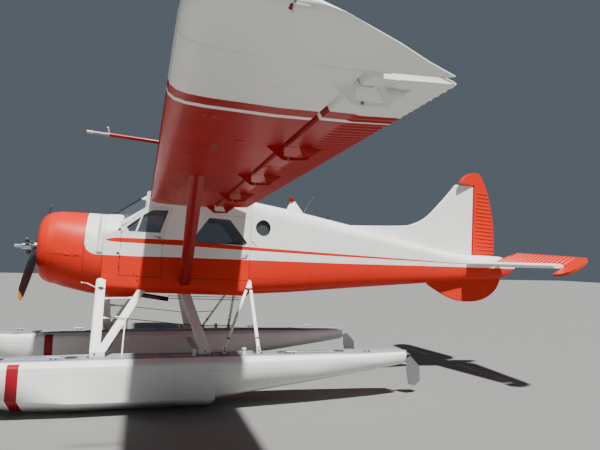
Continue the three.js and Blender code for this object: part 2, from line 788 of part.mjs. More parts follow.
const ELEVATOR_TUBE = 20;
const ELEVATOR_HALF_THICK = 20;
const TAILPLANE_ROWS = [
  // y, leading edge, greatest thickness
  [0, -5990, 96],
  [180, -6010, 96],
  [2080, -6360, 78],
];
const TAILPLANE_REAR_X = -6566;
const TAILPLANE_SECTION = [
  // share of the chord, share of the half thickness
  [0, 0], [0.03, 0.42], [0.12, 0.8], [0.35, 1], [0.65, 0.86], [1, 0.5],
];

function tailplaneRing(y, lead, thick, by) {
  const front = lead + by;
  const chord = front - (TAILPLANE_REAR_X - by);
  const half = TAILPLANE_SECTION.map(([share, rise]) => [front - share * chord, rise * (thick / 2 + by)]);
  const under = half.slice(1).reverse().map(([x, z]) => [x, -z]);
  return [...half, ...under].map(([x, z]) => new THREE.Vector3(x, y, TAILPLANE_Z + z));
}

function tailplaneBody(by) {
  const rows = [...TAILPLANE_ROWS].reverse().map(([y, ...rest]) => [-y, ...rest]).slice(0, -1);
  return loft([...rows, ...TAILPLANE_ROWS].map(([y, lead, thick]) => tailplaneRing(y, lead, thick, by)));
}

const ELEVATOR_OUTLINE = [
  // distance behind the hinge, y
  [22, 178], [250, 178], [480, 400], [275, 2290], [180, 2370], [60, 2410], [-60, TAIL_HALF_SPAN],
  [-190, 2380], [-270, 2310], [-305, 2220], [-310, 2105], [0, 2105], [-22, 2060], [-22, 178],
];

function buildTailplane() {
  add(airframe, 'tailplane', tailplaneBody(0), 'white');
  const turned = new THREE.Group();
  turned.position.set(ELEVATOR_HINGE_X, 0, TAILPLANE_Z);
  turned.rotation.y = ELEVATOR_REST;
  airframe.add(turned);
  const shape = new THREE.Shape(ELEVATOR_OUTLINE.map(([back, y]) => new THREE.Vector2(-back, y)));
  const depth = 2 * ELEVATOR_HALF_THICK;
  const blade = new THREE.ExtrudeGeometry(shape, { depth, bevelEnabled: false });
  blade.translate(0, 0, -ELEVATOR_HALF_THICK);
  const tube = rod([0, -200, 0], [0, 200, 0], ELEVATOR_TUBE, 16);
  add(turned, 'elevator', unite(blade, mirrored(blade), tube), 'orange');
}

// Wing: section in X and Z, swept along the span in the wing's own tilted group

const WING_UPPER = [
  // x, z
  [0, 88], [-14, 128], [-52, 168], [-125, 202], [-260, 229], [-450, 240], [-700, 229], [-950, 198],
  [-1110, 172],
];
const WING_LOWER = [
  [0, 88], [-12, 54], [-50, 25], [-120, 8], [-250, 0], [-700, -4], [-950, 4], [-1110, 14],
];

function wingHeight(table, x) {
  const after = table.findIndex(([at]) => at <= x);
  if (after < 1) return table[Math.max(after, 0)][1];
  const [x0, z0] = table[after - 1];
  const [x1, z1] = table[after];
  return z0 + ((x - x0) / (x1 - x0)) * (z1 - z0);
}

// Wing between its root rib, which stands flat against the cabin's side, and the tip's seam
function wingPanel() {
  const section = [...WING_UPPER, ...WING_LOWER.slice(1).reverse()];
  const lean = Math.tan(DIHEDRAL);
  const root = section.map(([x, z]) => new THREE.Vector3(x, CABIN_HALF + TOUCH + z * lean, z));
  const end = section.map(([x, z]) => new THREE.Vector3(x, TIP_SEAM + CUT_PAST, z));
  return loft([root, end]);
}

// Arc of the cove or of a surface's nose, from the underside up to the top skin
function noseArc(radius, lowAngle, highAngle, steps = 6) {
  const arc = [];
  for (let i = 0; i <= steps; i += 1) {
    const turn = lowAngle + (i / steps) * (highAngle - lowAngle);
    arc.push([PIVOT.x + radius * Math.cos(turn), PIVOT.z + radius * Math.sin(turn)]);
  }
  return arc;
}

const SURFACE_OUTLINE = [
  // nose arc, then the top skin back to the tail and the lower skin forward again
  ...noseArc(SURFACE_RADIUS, 34 * DEG, 74 * DEG),
  [-1190, 152], [-1360, 107], [SURFACE_TAIL_X, 54], [SURFACE_TAIL_X, 44], [-1360, 32], [-1190, 20],
  [-1030, 16],
];

const WING_BRACKET = [
  [-820, 20], [-996, 20], [-1000, -70], [-1165, -70], [-1180, -40], [-1200, -40], [-1215, -60],
  [-1205, -88], [-1030, -105], [-985, -100],
];
const SURFACE_BRACKET = [[-1110, 60], [-1330, 60], [-1340, 28], [-1212, -70], [-1190, -84], [-1168, -70]];
const BRACKET_THICK = 12;
const NOTCH_TOP = 110;        // slot in a surface's nose, clear of its bracket at full travel
const FLAP_BRACKETS = [760, 2260, 3710];
const AILERON_BRACKETS = [5080, 6640];

const TIP_ROWS = [
  // y, leading edge, trailing edge, thickness share
  [TIP_SEAM, 0, -1440, 1],
  [6900, 0, -1470, 0.99],
  [7015, 0, -1250, 0.96],
  [7150, -8, -1020, 0.86],
  [7245, -55, -820, 0.66],
  [7298, -190, -690, 0.4],
  [HALF_SPAN, -380, -560, 0.14],
];

const TIP_SECTION = [
  // share of the chord, share of the height: the top from the nose back, then the underside forward
  [0, 0.36], [0.01, 0.53], [0.033, 0.7], [0.08, 0.84], [0.164, 0.95], [0.283, 1], [0.44, 0.95], [0.63, 0.76],
  [0.82, 0.46], [1, 0.2], [1, 0.17], [0.82, 0.1], [0.63, 0.02], [0.44, -0.02], [0.16, 0], [0.076, 0.03],
  [0.03, 0.1], [0.008, 0.22],
];
const TIP_HEIGHT = 240;
const NOSE_Z = 88;

function tipRing([y, lead, trail, share]) {
  const base = NOSE_Z * (1 - share);
  return TIP_SECTION.map(([at, rise]) => (
    new THREE.Vector3(lead + at * (trail - lead), y, base + rise * TIP_HEIGHT * share)
  ));
}

function bracketPlates(outline, stations, offset) {
  return stations.map((y) => sidePlate(outline, y + offset, y + offset + BRACKET_THICK));
}

function buildWing(side, name) {
  const wing = new THREE.Group();
  wing.position.set(0, side * CABIN_HALF, 0);
  wing.rotation.x = side * DIHEDRAL;
  airframe.add(wing);
  const place = (geometry) => {
    const moved = merged(geometry).translate(0, -CABIN_HALF, 0);
    return side > 0 ? moved : mirrored(moved);
  };
  const cove = rod([PIVOT.x, CABIN_HALF - 50, PIVOT.z], [PIVOT.x, TIP_SEAM, PIVOT.z], COVE_RADIUS, 48);
  const tip = loft(TIP_ROWS.map(tipRing));
  const brackets = bracketPlates(WING_BRACKET, [...FLAP_BRACKETS, ...AILERON_BRACKETS], 0);
  const whole = unite(cut(wingPanel(), cove), tip, ...brackets, ...(side > 0 ? pitotBoom() : []));
  add(wing, `wing_${name}`, place(whole), 'crimson');
  for (const [kind, span, stations] of [
    ['flap', FLAP_SPAN, FLAP_BRACKETS],
    ['aileron', AILERON_SPAN, AILERON_BRACKETS],
  ]) {
    const notches = stations.map((y) => (
      box([-1110, y - RUN_GAP, -100], [-900, y + BRACKET_THICK + RUN_GAP, NOTCH_TOP])
    ));
    const surface = cut(sidePlate(SURFACE_OUTLINE, ...span), ...notches);
    const arms = bracketPlates(SURFACE_BRACKET, stations, BRACKET_THICK + PIN_GAP);
    add(wing, `${kind}_${name}`, place(unite(surface, ...arms)), 'orange');
  }
}

// Boom ahead of the leading edge, with its thinner head and the stub that stands on it
const PITOT = { y: 4500, z: 72, rise: 0.045, boomEnd: 415, headEnd: 600, stub: 62 };

function pitotBoom() {
  const { y, z, rise, boomEnd, headEnd, stub } = PITOT;
  const at = (x) => [x, y, z + x * rise];
  const stubTop = [boomEnd + 12, y, z + boomEnd * rise + stub];
  return [
    rod(at(-20), at(boomEnd), 17, 10),
    rod(at(boomEnd - 10), at(headEnd), 12, 8),
    rod(at(boomEnd - 4), stubTop, 7, 8),
  ];
}

const WING_STRUT = { foot: [-615, CABIN_HALF, -1245], headX: -455, headY: 3400, chord: 165, thick: 55 };

function buildWingStruts() {
  const { foot, headX, headY, chord, thick } = WING_STRUT;
  const underside = { normal: [0, -Math.sin(DIHEDRAL), Math.cos(DIHEDRAL)], gap: 0 };
  const skin = wingHeight(WING_LOWER, headX) - 1.5 - TOUCH;
  const rise = (headY - CABIN_HALF) * Math.tan(DIHEDRAL) + skin / Math.cos(DIHEDRAL);
  const side = { normal: [0, 1, 0], gap: TOUCH };
  const body = strut(foot, [headX, headY, rise], chord, thick, side, underside);
  addPair(airframe, 'wing_strut', body, 'crimson');
}

// Floats

const FLOAT_ROWS = [
  // x, keel, chine, half width at the chine, half width of the deck
  [2750, 615, 645, 40, 46],
  [2640, 420, 530, 150, 130],
  [2250, 205, 390, 290, 250],
  [1650, 48, 270, 385, 345],
  [900, 0, 205, 415, 380],
  [STEP_X, 0, 185, 418, 385],
  [STEP_X - 2, 88, 250, 416, 384],
  [-2400, 270, 405, 345, 325],
  [-3550, 425, 520, 215, 215],
  [STERN_X, 490, 560, 130, 140],
];
const DECK_ROUND = 150;       // width of the rounded shoulder along the deck's edges
const DECK_FALL = 70;         // and its height

function floatRing([x, keel, chine, half, deck]) {
  const soft = Math.min(DECK_ROUND, deck * 0.5);
  const fall = Math.min(DECK_FALL, deck * 0.4);
  const side = [
    [0, keel],
    [half, chine],
    [deck + 4, DECK_Z - fall],
    [deck - soft * 0.12, DECK_Z - fall * 0.55],
    [deck - soft * 0.45, DECK_Z - fall * 0.16],
    [deck - soft, DECK_Z],
  ];
  const other = side.slice(1).reverse().map(([y, z]) => [-y, z]);
  return [...side, ...other].map(([y, z]) => new THREE.Vector3(x, FLOAT_Y + y, z));
}

const RUDDER_POST = { x: STERN_X - 45, low: 500, high: 690, radius: 16 };
const WATER_RUDDER = [
  // behind the post, height
  [0, 560], [130, 600], [330, 420], [340, 190], [230, 120], [90, 160], [40, 400], [40, 520], [0, 540],
];

// Feet of the struts on each deck
const LEG_Y = 1430;
const PAD_HEIGHT = 75;
const FEET = { front: 655, slant: 578, rear: -835, veeFront: -1121, veeRear: -1625 };
const PAD_HALF = { front: 62, slant: 55, rear: 85, veeFront: 30, veeRear: 30 };

// Both bare hulls, grown by a little, for cutting what reaches them
function floatHulls(by) {
  const hull = loft(FLOAT_ROWS.map(([x, keel, chine, half, deck]) => (
    floatRing([x, keel - by, chine - by, half + by, deck + by])
  )));
  return [hull, mirrored(hull)];
}

function buildFloats() {
  const hull = loft(FLOAT_ROWS.map(floatRing));
  const { x, low, high, radius } = RUDDER_POST;
  const lugs = [low - 12 - PIN_GAP, high + PIN_GAP].map((z) => (
    box([x - 22, FLOAT_Y - 22, z], [STERN_X + 30, FLOAT_Y + 22, z + 12])
  ));
  const bumperZ = DECK_Z - 30;
  const bumper = rod([BOW_TIP_X - 65, FLOAT_Y, bumperZ], [BOW_TIP_X, FLOAT_Y, bumperZ], 34, 12);
  const pads = Object.entries(FEET).map(([name, foot]) => {
    const half = PAD_HALF[name];
    return box([foot - half, LEG_Y - 28, DECK_Z - 5], [foot + half, LEG_Y + 28, DECK_Z + PAD_HEIGHT]);
  });
  addPair(gear, 'float', unite(hull, ...lugs, bumper, ...pads), 'white');
  const blade = sidePlate(WATER_RUDDER.map(([back, z]) => [-back, z]), -5, 5);
  const rudder = unite(rod([0, 0, low], [0, 0, high], radius), blade);
  for (const [side, y] of [['left', FLOAT_Y], ['right', -FLOAT_Y]]) {
    const turned = new THREE.Group();
    turned.position.set(x, y, 0);
    turned.rotation.z = RUDDER_REST;
    gear.add(turned);
    add(turned, `water_rudder_${side}`, rudder, 'metal');
  }
}

// Struts between the airframe and the decks, and the spreader bars between the floats
const ON_DECK = { normal: [0, 0, 1], gap: TOUCH };

function outOf(direction) {
  const base = level([0, 0, 0]);
  return { normal: level(direction).map((value, i) => value - base[i]), gap: TOUCH };
}

const FRONT_TOP = [632, CABIN_HALF, -1240];
const SLANT_TOP_X = 37;
const REAR_TOP_X = -650;
const REAR_TOP_Y = 470;
const RUNGS = [1210, 1470];
const VEE_TOP = [-1658, CABIN_HALF, -1160];
const SPREADERS = { front: 560, rear: -835 };
const SPREADER_Z = 600;
const SPREADER_REACH = 1120;

function along(a, b, z) {
  const share = (z - a[2]) / (b[2] - a[2]);
  return a.map((value, i) => value + share * (b[i] - value));
}

function buildGear() {
  const sideFace = outOf([0, 1, 0]);
  const corner = BELLY_RADIUS * Math.SQRT1_2;
  const round = [CABIN_HALF - BELLY_RADIUS + corner, BELLY_Z + BELLY_RADIUS - corner];
  const slantTop = level([SLANT_TOP_X, ...round]);
  const deckPoint = (x) => [x, LEG_Y, DECK_Z + PAD_HEIGHT];
  const frontTop = level(FRONT_TOP);
  const front = strut(frontTop, deckPoint(FEET.front), 138, 50, sideFace, ON_DECK);
  const slant = strut(slantTop, deckPoint(FEET.slant), 120, 45, outOf([0, 1, -1]), ON_DECK);
  const rungs = RUNGS.map((z) => {
    const onFront = along(frontTop, deckPoint(FEET.front), z);
    const onSlant = along(slantTop, deckPoint(FEET.slant), z);
    return rod(onFront, onSlant, 12, 8);
  });
  addPair(gear, 'front_struts', unite(front, slant, ...rungs), 'white');
  const rearTop = level([REAR_TOP_X, REAR_TOP_Y, BELLY_Z]);
  const rear = strut(rearTop, deckPoint(FEET.rear), 160, 50, outOf([0, 0, -1]), ON_DECK);
  addPair(gear, 'rear_strut', rear, 'white');
  const veeTop = level(VEE_TOP);
  const legs = [FEET.veeFront, FEET.veeRear].map((foot, i) => (
    strut(veeTop, deckPoint(foot), 44 + 6 * i, 26, sideFace, ON_DECK)
  ));
  addPair(gear, 'vee_strut', unite(...legs), 'white');
  for (const [name, x] of Object.entries(SPREADERS)) {
    const ends = [[x, -SPREADER_REACH, SPREADER_Z], [x, SPREADER_REACH, SPREADER_Z]];
    const bar = strut(...ends, 110, 45, sideFace, sideFace);
    add(gear, `spreader_bar_${name}`, cut(bar, ...floatHulls(TOUCH)), 'floatGrey');
  }
}

buildCowling();
buildEngine();
buildPropeller();
buildSides();
buildFloorAndRoof();
buildExhaust();
buildWindscreen();
buildDeck();
buildInterior();
buildRearFuselage();
buildTailCone();
buildFins();
buildTailplane();
buildWing(1, 'left');
buildWing(-1, 'right');
buildWingStruts();
buildFloats();
buildGear();

export default parts;
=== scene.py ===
# High-wing floatplane with a radial engine: its paint, trim, engine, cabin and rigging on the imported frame
import json
import math
import bmesh
import bpy
from mathutils import Matrix, Vector

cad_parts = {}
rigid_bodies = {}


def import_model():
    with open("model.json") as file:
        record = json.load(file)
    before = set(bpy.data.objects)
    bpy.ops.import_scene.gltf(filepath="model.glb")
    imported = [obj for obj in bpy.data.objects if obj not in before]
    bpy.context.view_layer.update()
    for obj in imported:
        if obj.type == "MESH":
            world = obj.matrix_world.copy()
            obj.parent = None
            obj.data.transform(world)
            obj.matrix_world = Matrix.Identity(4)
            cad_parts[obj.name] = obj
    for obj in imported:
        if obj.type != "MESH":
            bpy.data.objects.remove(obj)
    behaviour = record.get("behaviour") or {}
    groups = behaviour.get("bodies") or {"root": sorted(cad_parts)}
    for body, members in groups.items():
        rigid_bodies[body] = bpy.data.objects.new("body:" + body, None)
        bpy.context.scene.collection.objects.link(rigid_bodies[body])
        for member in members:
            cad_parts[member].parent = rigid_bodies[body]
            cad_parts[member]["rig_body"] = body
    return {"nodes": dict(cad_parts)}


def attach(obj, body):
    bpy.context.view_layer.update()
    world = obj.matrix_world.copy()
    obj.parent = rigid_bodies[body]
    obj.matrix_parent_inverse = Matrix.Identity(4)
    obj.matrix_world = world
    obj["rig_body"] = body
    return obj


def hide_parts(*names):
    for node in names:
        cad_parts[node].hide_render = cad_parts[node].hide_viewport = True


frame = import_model()
nodes = frame["nodes"]
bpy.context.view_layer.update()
print("frame loaded:", len(nodes), "nodes")

# The airframe sits nose-up on level floats, so most pieces are drawn in the airframe's own axes.
# Angles are in degrees, and every length is in metres
stance = {"rigAngle": 1.6, "shift": 2.21258, "drop": 2.95, "dihedral": 1.3, "cabinHalf": 0.61,
          "shaft": -0.77, "floatCentre": 1.42}
rigTurn = math.radians(stance["rigAngle"])
airframe = Matrix.Translation((stance["shift"], 0, stance["drop"])) @ Matrix.Rotation(-rigTurn, 4, "Y")
floatFrame = Matrix.Translation((stance["shift"], 0, 0))
sides = {"left": 1, "right": -1}


def across(side):  # the starboard side is the port side's mirror image
    return Matrix.Diagonal((1, side, 1, 1))


def wingFrame(side):  # tilted by the dihedral round the wing's root
    root = Matrix.Translation((0, side * stance["cabinHalf"], 0))
    tilt = Matrix.Rotation(side * math.radians(stance["dihedral"]), 4, "X")
    return airframe @ root @ tilt @ root.inverted() @ across(side)


def onFloats(x, y, z):  # a point of the airframe, given in the floats' level axes
    c, s = math.cos(rigTurn), math.sin(rigTurn)
    return Vector((x * c - z * s, y, x * s + z * c + stance["drop"]))


# Materials

def toLinear(code):
    parts = [int(code[i:i + 2], 16) / 255 for i in (1, 3, 5)]
    return tuple(c / 12.92 if c <= 0.04045 else ((c + 0.055) / 1.055) ** 2.4 for c in parts) + (1.0,)


def addNode(tree, kind, inputs=None, **settings):
    made = tree.nodes.new("ShaderNode" + kind)
    for key, value in settings.items():
        setattr(made, key, value)
    for key, value in (inputs or {}).items():
        if isinstance(value, bpy.types.NodeSocket):
            tree.links.new(value, made.inputs[key])
        else:
            made.inputs[key].default_value = value
    return made


def startMaterial(name, roughness=0.5, metallic=0.0, **sockets):  # even, unless a pattern is linked to it
    material = bpy.data.materials.new(name)
    material.use_nodes = True
    tree = material.node_tree
    tree.nodes.clear()
    shader = addNode(tree, "BsdfPrincipled", {"Roughness": roughness, "Metallic": metallic})
    for key, value in sockets.items():
        shader.inputs[key.replace("_", " ")].default_value = value
    addNode(tree, "OutputMaterial", {"Surface": shader.outputs[0]})
    return material, tree, shader


def compute(tree, operation, first, second=0.0):
    return addNode(tree, "Math", {0: first, 1: second}, operation=operation).outputs[0]


def chooseColour(tree, mask, first, second):
    return addNode(tree, "Mix", {0: mask, 6: first, 7: second}, data_type="RGBA").outputs[2]


def objectAxes(tree, frameMatrix, turn=0.0):  # x, y, z in the given frame's own axes, in metres
    place = addNode(tree, "TexCoord").outputs["Object"]
    origin = frameMatrix.inverted().translation
    turned = addNode(tree, "Mapping", {0: place, "Location": origin, "Rotation": (0, turn, 0)}).outputs[0]
    return addNode(tree, "SeparateXYZ", {0: turned}).outputs, turned


# A curve node runs from 0 to 1, so painted lines are scaled to the space that they lie in
lineSpace = {"x": (-7.4, 2.2), "z": (-1.6, 1.4)}


def lineAlong(tree, x, points):  # height of a painted line above the datum, at each x
    (low, high), (floor, roof) = lineSpace["x"], lineSpace["z"]
    share = addNode(tree, "MapRange", {0: x, 1: low, 2: high, 3: 0.0, 4: 1.0}).outputs[0]
    curve = addNode(tree, "FloatCurve", {1: share})
    dots = curve.mapping.curves[0].points
    spots = sorted(((px - low) / (high - low), (pz - floor) / (roof - floor)) for px, pz in points)
    while len(dots) < len(spots):
        dots.new(0.5, 0.5)
    for dot, spot in zip(dots, spots):
        dot.location = spot
        dot.handle_type = "VECTOR"
    curve.mapping.update()
    return addNode(tree, "MapRange", {0: curve.outputs[0], 1: 0.0, 2: 1.0, 3: floor, 4: roof}).outputs[0]


# Lap joints 4 mm wide, rivets 30 mm apart with 7 mm heads, drawn a little coarse so that they show
skin = {"seamHalf": 0.002, "rivetPitch": 0.03, "rivetRadius": 0.0035, "rivetOffset": 0.014,
        "depth": 0.0008, "relief": 0.6, "fade": 0.06, "cloudSize": 0.77, "grime": 0.72,
        "gloss": (0.36, 0.44), "scuffSize": 0.4}


def paintedSkin(tree, shader, colour, along, other, vector, seamsAlong=(), seamsOther=()):
    # uneven fading in the sun, thin grime in the lap joints, and rows of rivet heads beside each joint
    patches = {"Vector": vector, "Scale": 1 / skin["cloudSize"], "Detail": 6.0}
    cloud = addNode(tree, "TexNoise", patches).outputs[0]
    fade = addNode(tree, "MapRange", {0: cloud, 1: 0.3, 2: 0.7, 3: 1 - skin["fade"], 4: 1.0}).outputs[0]
    groove, heads = None, None
    for coordinate, beside, seams in ((along, other, seamsAlong), (other, along, seamsOther)):
        for at in seams:
            gap = compute(tree, "ABSOLUTE", compute(tree, "SUBTRACT", coordinate, at))
            line = compute(tree, "LESS_THAN", gap, skin["seamHalf"])
            row = compute(tree, "SUBTRACT", gap, skin["rivetOffset"])
            half = skin["rivetPitch"] / 2
            step = addNode(tree, "Math", {0: beside, 1: half, 2: -half}, operation="WRAP").outputs[0]
            reach = addNode(tree, "CombineXYZ", {0: row, 1: step}).outputs[0]
            far = addNode(tree, "VectorMath", {0: reach}, operation="LENGTH").outputs["Value"]
            head = compute(tree, "LESS_THAN", far, skin["rivetRadius"])
            groove = line if groove is None else compute(tree, "MAXIMUM", groove, line)
            heads = head if heads is None else compute(tree, "MAXIMUM", heads, head)
    if groove is not None:
        bump = addNode(tree, "Bump", {"Height": compute(tree, "SUBTRACT", heads, groove),
                                      "Distance": skin["depth"], "Strength": skin["relief"]})
        tree.links.new(bump.outputs[0], shader.inputs["Normal"])
        grime = addNode(tree, "MapRange", {0: groove, 1: 0.0, 2: 1.0, 3: 1.0, 4: skin["grime"]}).outputs[0]
        fade = compute(tree, "MULTIPLY", fade, grime)
    tinted = addNode(tree, "VectorMath", {0: colour, "Scale": fade}, operation="SCALE").outputs[0]
    tree.links.new(tinted, shader.inputs["Base Color"])
    patches = {"Vector": vector, "Scale": 1 / skin["scuffSize"], "Detail": 1.0}
    scuffs = addNode(tree, "TexNoise", patches).outputs[0]
    glossy, dull = skin["gloss"]
    rough = addNode(tree, "MapRange", {0: scuffs, 1: 0.2, 2: 0.8, 3: glossy, 4: dull}).outputs[0]
    tree.links.new(rough, shader.inputs["Roughness"])


# The wing's red and the struts' deep red are the body's orange-red paint darkened: painted shade
paints = {"orange": "#d82a12", "white": "#f1f1ec", "crimson": "#960e0e", "wingRedInShade": "#a4100c",
          "deckGrey": "#9ba0a4", "bandRed": "#a01626", "rubber": "#1b1b1d", "antiGlare": "#23262a"}
enamel = {"Specular_IOR_Level": 0.25, "Coat_Weight": 0.04, "Coat_Roughness": 0.1}

# Lines are (x, z) points from the engine's end to the tail; frames and stringers are the riveted seams
livery = {
    "frontOfWhite": 0.909,
    "boundary": [(0.909, -0.714), (0.893, -0.762), (0.849, -0.805), (0.8, -0.832), (0.74, -0.849),
                 (0.237, -0.848), (-0.519, -0.832), (-1.645, -0.815), (-3.221, -0.795), (-5.74, -0.741),
                 (-7.3, -0.715)],
    "stripeNose": 0.621,
    "stripeTop": [(0.621, -0.616), (0.55, -0.59), (0.433, -0.574), (-0.501, -0.555), (-1.633, -0.602),
                  (-3.213, -0.629), (-5.725, -0.664), (-7.3, -0.68)],
    "stripeBottom": [(0.621, -0.616), (0.55, -0.635), (0.428, -0.643), (-0.507, -0.642), (-1.637, -0.659),
                     (-3.215, -0.672), (-5.725, -0.678), (-7.3, -0.68)],
    "frames": (-2.75, -3.9, -5.0), "stringers": (-1.12,),
    "gaps": (0.914, 0.645), "gapHalf": 0.0028, "gapShade": 0.25,
    "cowlSeam": {"x": (0.932, 1.456), "z": -0.904, "rise": 0.0782},
}


def makeFuselageEnamel():  # two enamels sprayed on riveted aluminium: hard paint edges, soft gloss
    material, tree, shader = startMaterial("fuselageEnamel", **enamel)
    (x, y, z), vector = objectAxes(tree, airframe, rigTurn)
    lower = compute(tree, "LESS_THAN", z, lineAlong(tree, x, livery["boundary"]))
    under = compute(tree, "LESS_THAN", z, lineAlong(tree, x, livery["stripeTop"]))
    over = compute(tree, "GREATER_THAN", z, lineAlong(tree, x, livery["stripeBottom"]))
    behind = compute(tree, "LESS_THAN", x, livery["stripeNose"])
    stripe = compute(tree, "MINIMUM", compute(tree, "MINIMUM", under, over), behind)
    nose = compute(tree, "GREATER_THAN", x, livery["frontOfWhite"])
    mask = compute(tree, "MAXIMUM", compute(tree, "MAXIMUM", lower, stripe), nose)
    colour = chooseColour(tree, mask, toLinear(paints["white"]), toLinear(paints["orange"]))
    # Thin dark lines along the lower cowl seam and at the cowl's panel gaps: painted shade in the gaps
    seam = livery["cowlSeam"]
    line = addNode(tree, "Math", {0: x, 1: seam["rise"], 2: seam["z"] - seam["rise"] * seam["x"][0]},
                   operation="MULTIPLY_ADD").outputs[0]
    off = compute(tree, "ABSOLUTE", compute(tree, "SUBTRACT", z, line))
    near = compute(tree, "LESS_THAN", off, livery["gapHalf"])
    within = compute(tree, "MINIMUM", compute(tree, "GREATER_THAN", x, seam["x"][0]),
                     compute(tree, "LESS_THAN", x, seam["x"][1]))
    dark = compute(tree, "MINIMUM", near, within)
    for at in livery["gaps"]:
        gap = compute(tree, "ABSOLUTE", compute(tree, "SUBTRACT", x, at))
        dark = compute(tree, "MAXIMUM", dark, compute(tree, "LESS_THAN", gap, livery["gapHalf"]))
    shade = addNode(tree, "MapRange", {0: dark, 1: 0.0, 2: 1.0, 3: 1.0, 4: livery["gapShade"]}).outputs[0]
    colour = addNode(tree, "VectorMath", {0: colour, "Scale": shade}, operation="SCALE").outputs[0]
    paintedSkin(tree, shader, colour, x, z, vector, livery["frames"], livery["stringers"])
    return material


wingPaint = {"lineIn": 5.92, "lineOut": 5.98, "bandOut": 6.13, "ribs": (1.35, 2.75, 4.1, 5.5, 6.872)}


def makeWingEnamel():  # sprayed enamel, soft gloss: the body's orange-red darkened to a deep red as painted shade, with a white pinstripe and a white outer panel
    material, tree, shader = startMaterial("wingEnamel", **enamel)
    (x, y, z), vector = objectAxes(tree, airframe, rigTurn)
    out = compute(tree, "ABSOLUTE", y)
    inner = compute(tree, "LESS_THAN", out, wingPaint["lineIn"])
    beyond = compute(tree, "GREATER_THAN", out, wingPaint["lineOut"])
    before = compute(tree, "LESS_THAN", out, wingPaint["bandOut"])
    mask = compute(tree, "MAXIMUM", inner, compute(tree, "MINIMUM", beyond, before))
    colour = chooseColour(tree, mask, toLinear(paints["white"]), toLinear(paints["wingRedInShade"]))
    paintedSkin(tree, shader, colour, out, x, vector, wingPaint["ribs"])
    return material


floatPaint = {"bandFrom": 1.52, "bandTo": 1.66, "bandTop": 0.7, "deckHalf": 0.215, "deckLow": 0.698,
              "deckHigh": 0.72, "bumperFrom": 2.724, "bumperHalf": 0.037,
              "frames": (2.3, 1.1, 0.2, -0.4, -1.7, -2.5, -3.2), "strakes": (0.56,)}


def makeFloatEnamel():  # white enamel on riveted hulls, a crimson band, a grey deck and rubber at the bow
    material, tree, shader = startMaterial("floatEnamel", **enamel)
    (x, y, z), vector = objectAxes(tree, floatFrame)
    after = compute(tree, "GREATER_THAN", x, floatPaint["bandFrom"])
    ahead = compute(tree, "LESS_THAN", x, floatPaint["bandTo"])
    below = compute(tree, "LESS_THAN", z, floatPaint["bandTop"])
    band = compute(tree, "MINIMUM", compute(tree, "MINIMUM", after, ahead), below)
    out = compute(tree, "ABSOLUTE", y)
    off = compute(tree, "ABSOLUTE", compute(tree, "SUBTRACT", out, stance["floatCentre"]))
    middle = compute(tree, "LESS_THAN", off, floatPaint["deckHalf"])
    over = compute(tree, "GREATER_THAN", z, floatPaint["deckLow"])
    flat = compute(tree, "MINIMUM", over, compute(tree, "LESS_THAN", z, floatPaint["deckHigh"]))
    deck = compute(tree, "MINIMUM", middle, flat)
    narrow = compute(tree, "LESS_THAN", off, floatPaint["bumperHalf"])
    bumper = compute(tree, "MINIMUM", narrow, compute(tree, "GREATER_THAN", x, floatPaint["bumperFrom"]))
    colour = chooseColour(tree, band, toLinear(paints["white"]), toLinear(paints["bandRed"]))
    colour = chooseColour(tree, deck, colour, toLinear(paints["deckGrey"]))
    colour = chooseColour(tree, bumper, colour, toLinear(paints["rubber"]))
    paintedSkin(tree, shader, colour, x, z, vector, floatPaint["frames"], floatPaint["strakes"])
    return material


def makeSprayedEnamel(name, code):  # one enamel sprayed on sheet metal: even colour, faint cloudiness
    material, tree, shader = startMaterial(name, **enamel)
    (x, y, z), vector = objectAxes(tree, airframe, rigTurn)
    paintedSkin(tree, shader, toLinear(code)[:3], x, z, vector)
    return material


windscreenPost = {"half": 0.045}


def makePostEnamel():  # white sprayed frame, anti-glare black on the post between the panes
    material, tree, shader = startMaterial("postEnamel", **enamel)
    (x, y, z), vector = objectAxes(tree, airframe, rigTurn)
    post = compute(tree, "LESS_THAN", compute(tree, "ABSOLUTE", y), windscreenPost["half"])
    colour = chooseColour(tree, post, toLinear(paints["white"]), toLinear(paints["antiGlare"]))
    paintedSkin(tree, shader, colour, x, z, vector)
    return material


# Tool marks are a fraction of a millimetre apart, drawn 25 mm long and a sixth as wide so that they show
toolMarks = {"length": 0.025, "narrowing": 6, "stainSize": 0.143, "spread": 0.15}


def makeMetal(name, code, roughness, stain=None, metallic=1.0):
    # fine streaks left by the tool, and stains where heat or weather has got at it
    material, tree, shader = startMaterial(name, roughness, metallic)
    vector = addNode(tree, "TexCoord").outputs["Object"]
    perMetre = 1 / toolMarks["length"]
    scale = (perMetre, perMetre, perMetre * toolMarks["narrowing"])
    stretched = addNode(tree, "Mapping", {0: vector, "Scale": scale}).outputs[0]
    grain = addNode(tree, "TexNoise", {"Vector": stretched, "Scale": 1.0, "Detail": 5.0}).outputs[0]
    tone = addNode(tree, "MapRange", {0: grain, 1: 0.3, 2: 0.7, 3: 0.8, 4: 1.05}).outputs[0]
    colour = toLinear(code)[:3]
    if stain:
        size = toolMarks["stainSize"]
        patches = addNode(tree, "TexNoise", {"Vector": vector, "Scale": 1 / size, "Detail": 3.0}).outputs[0]
        patches = addNode(tree, "MapRange", {0: patches, 1: 0.4, 2: 0.62, 3: 0.0, 4: 1.0}).outputs[0]
        colour = chooseColour(tree, patches, toLinear(code), toLinear(stain))
    shade = addNode(tree, "VectorMath", {0: colour, "Scale": tone}, operation="SCALE")
    tree.links.new(shade.outputs[0], shader.inputs["Base Color"])
    duller = roughness + toolMarks["spread"]
    rough = addNode(tree, "MapRange", {0: grain, 1: 0.3, 2: 0.7, 3: roughness, 4: duller}).outputs[0]
    tree.links.new(rough, shader.inputs["Roughness"])
    return material


# The real grain is under 1 mm, and is drawn a few millimetres wide so that it shows
mould = {"depth": 0.0006, "relief": 0.5}


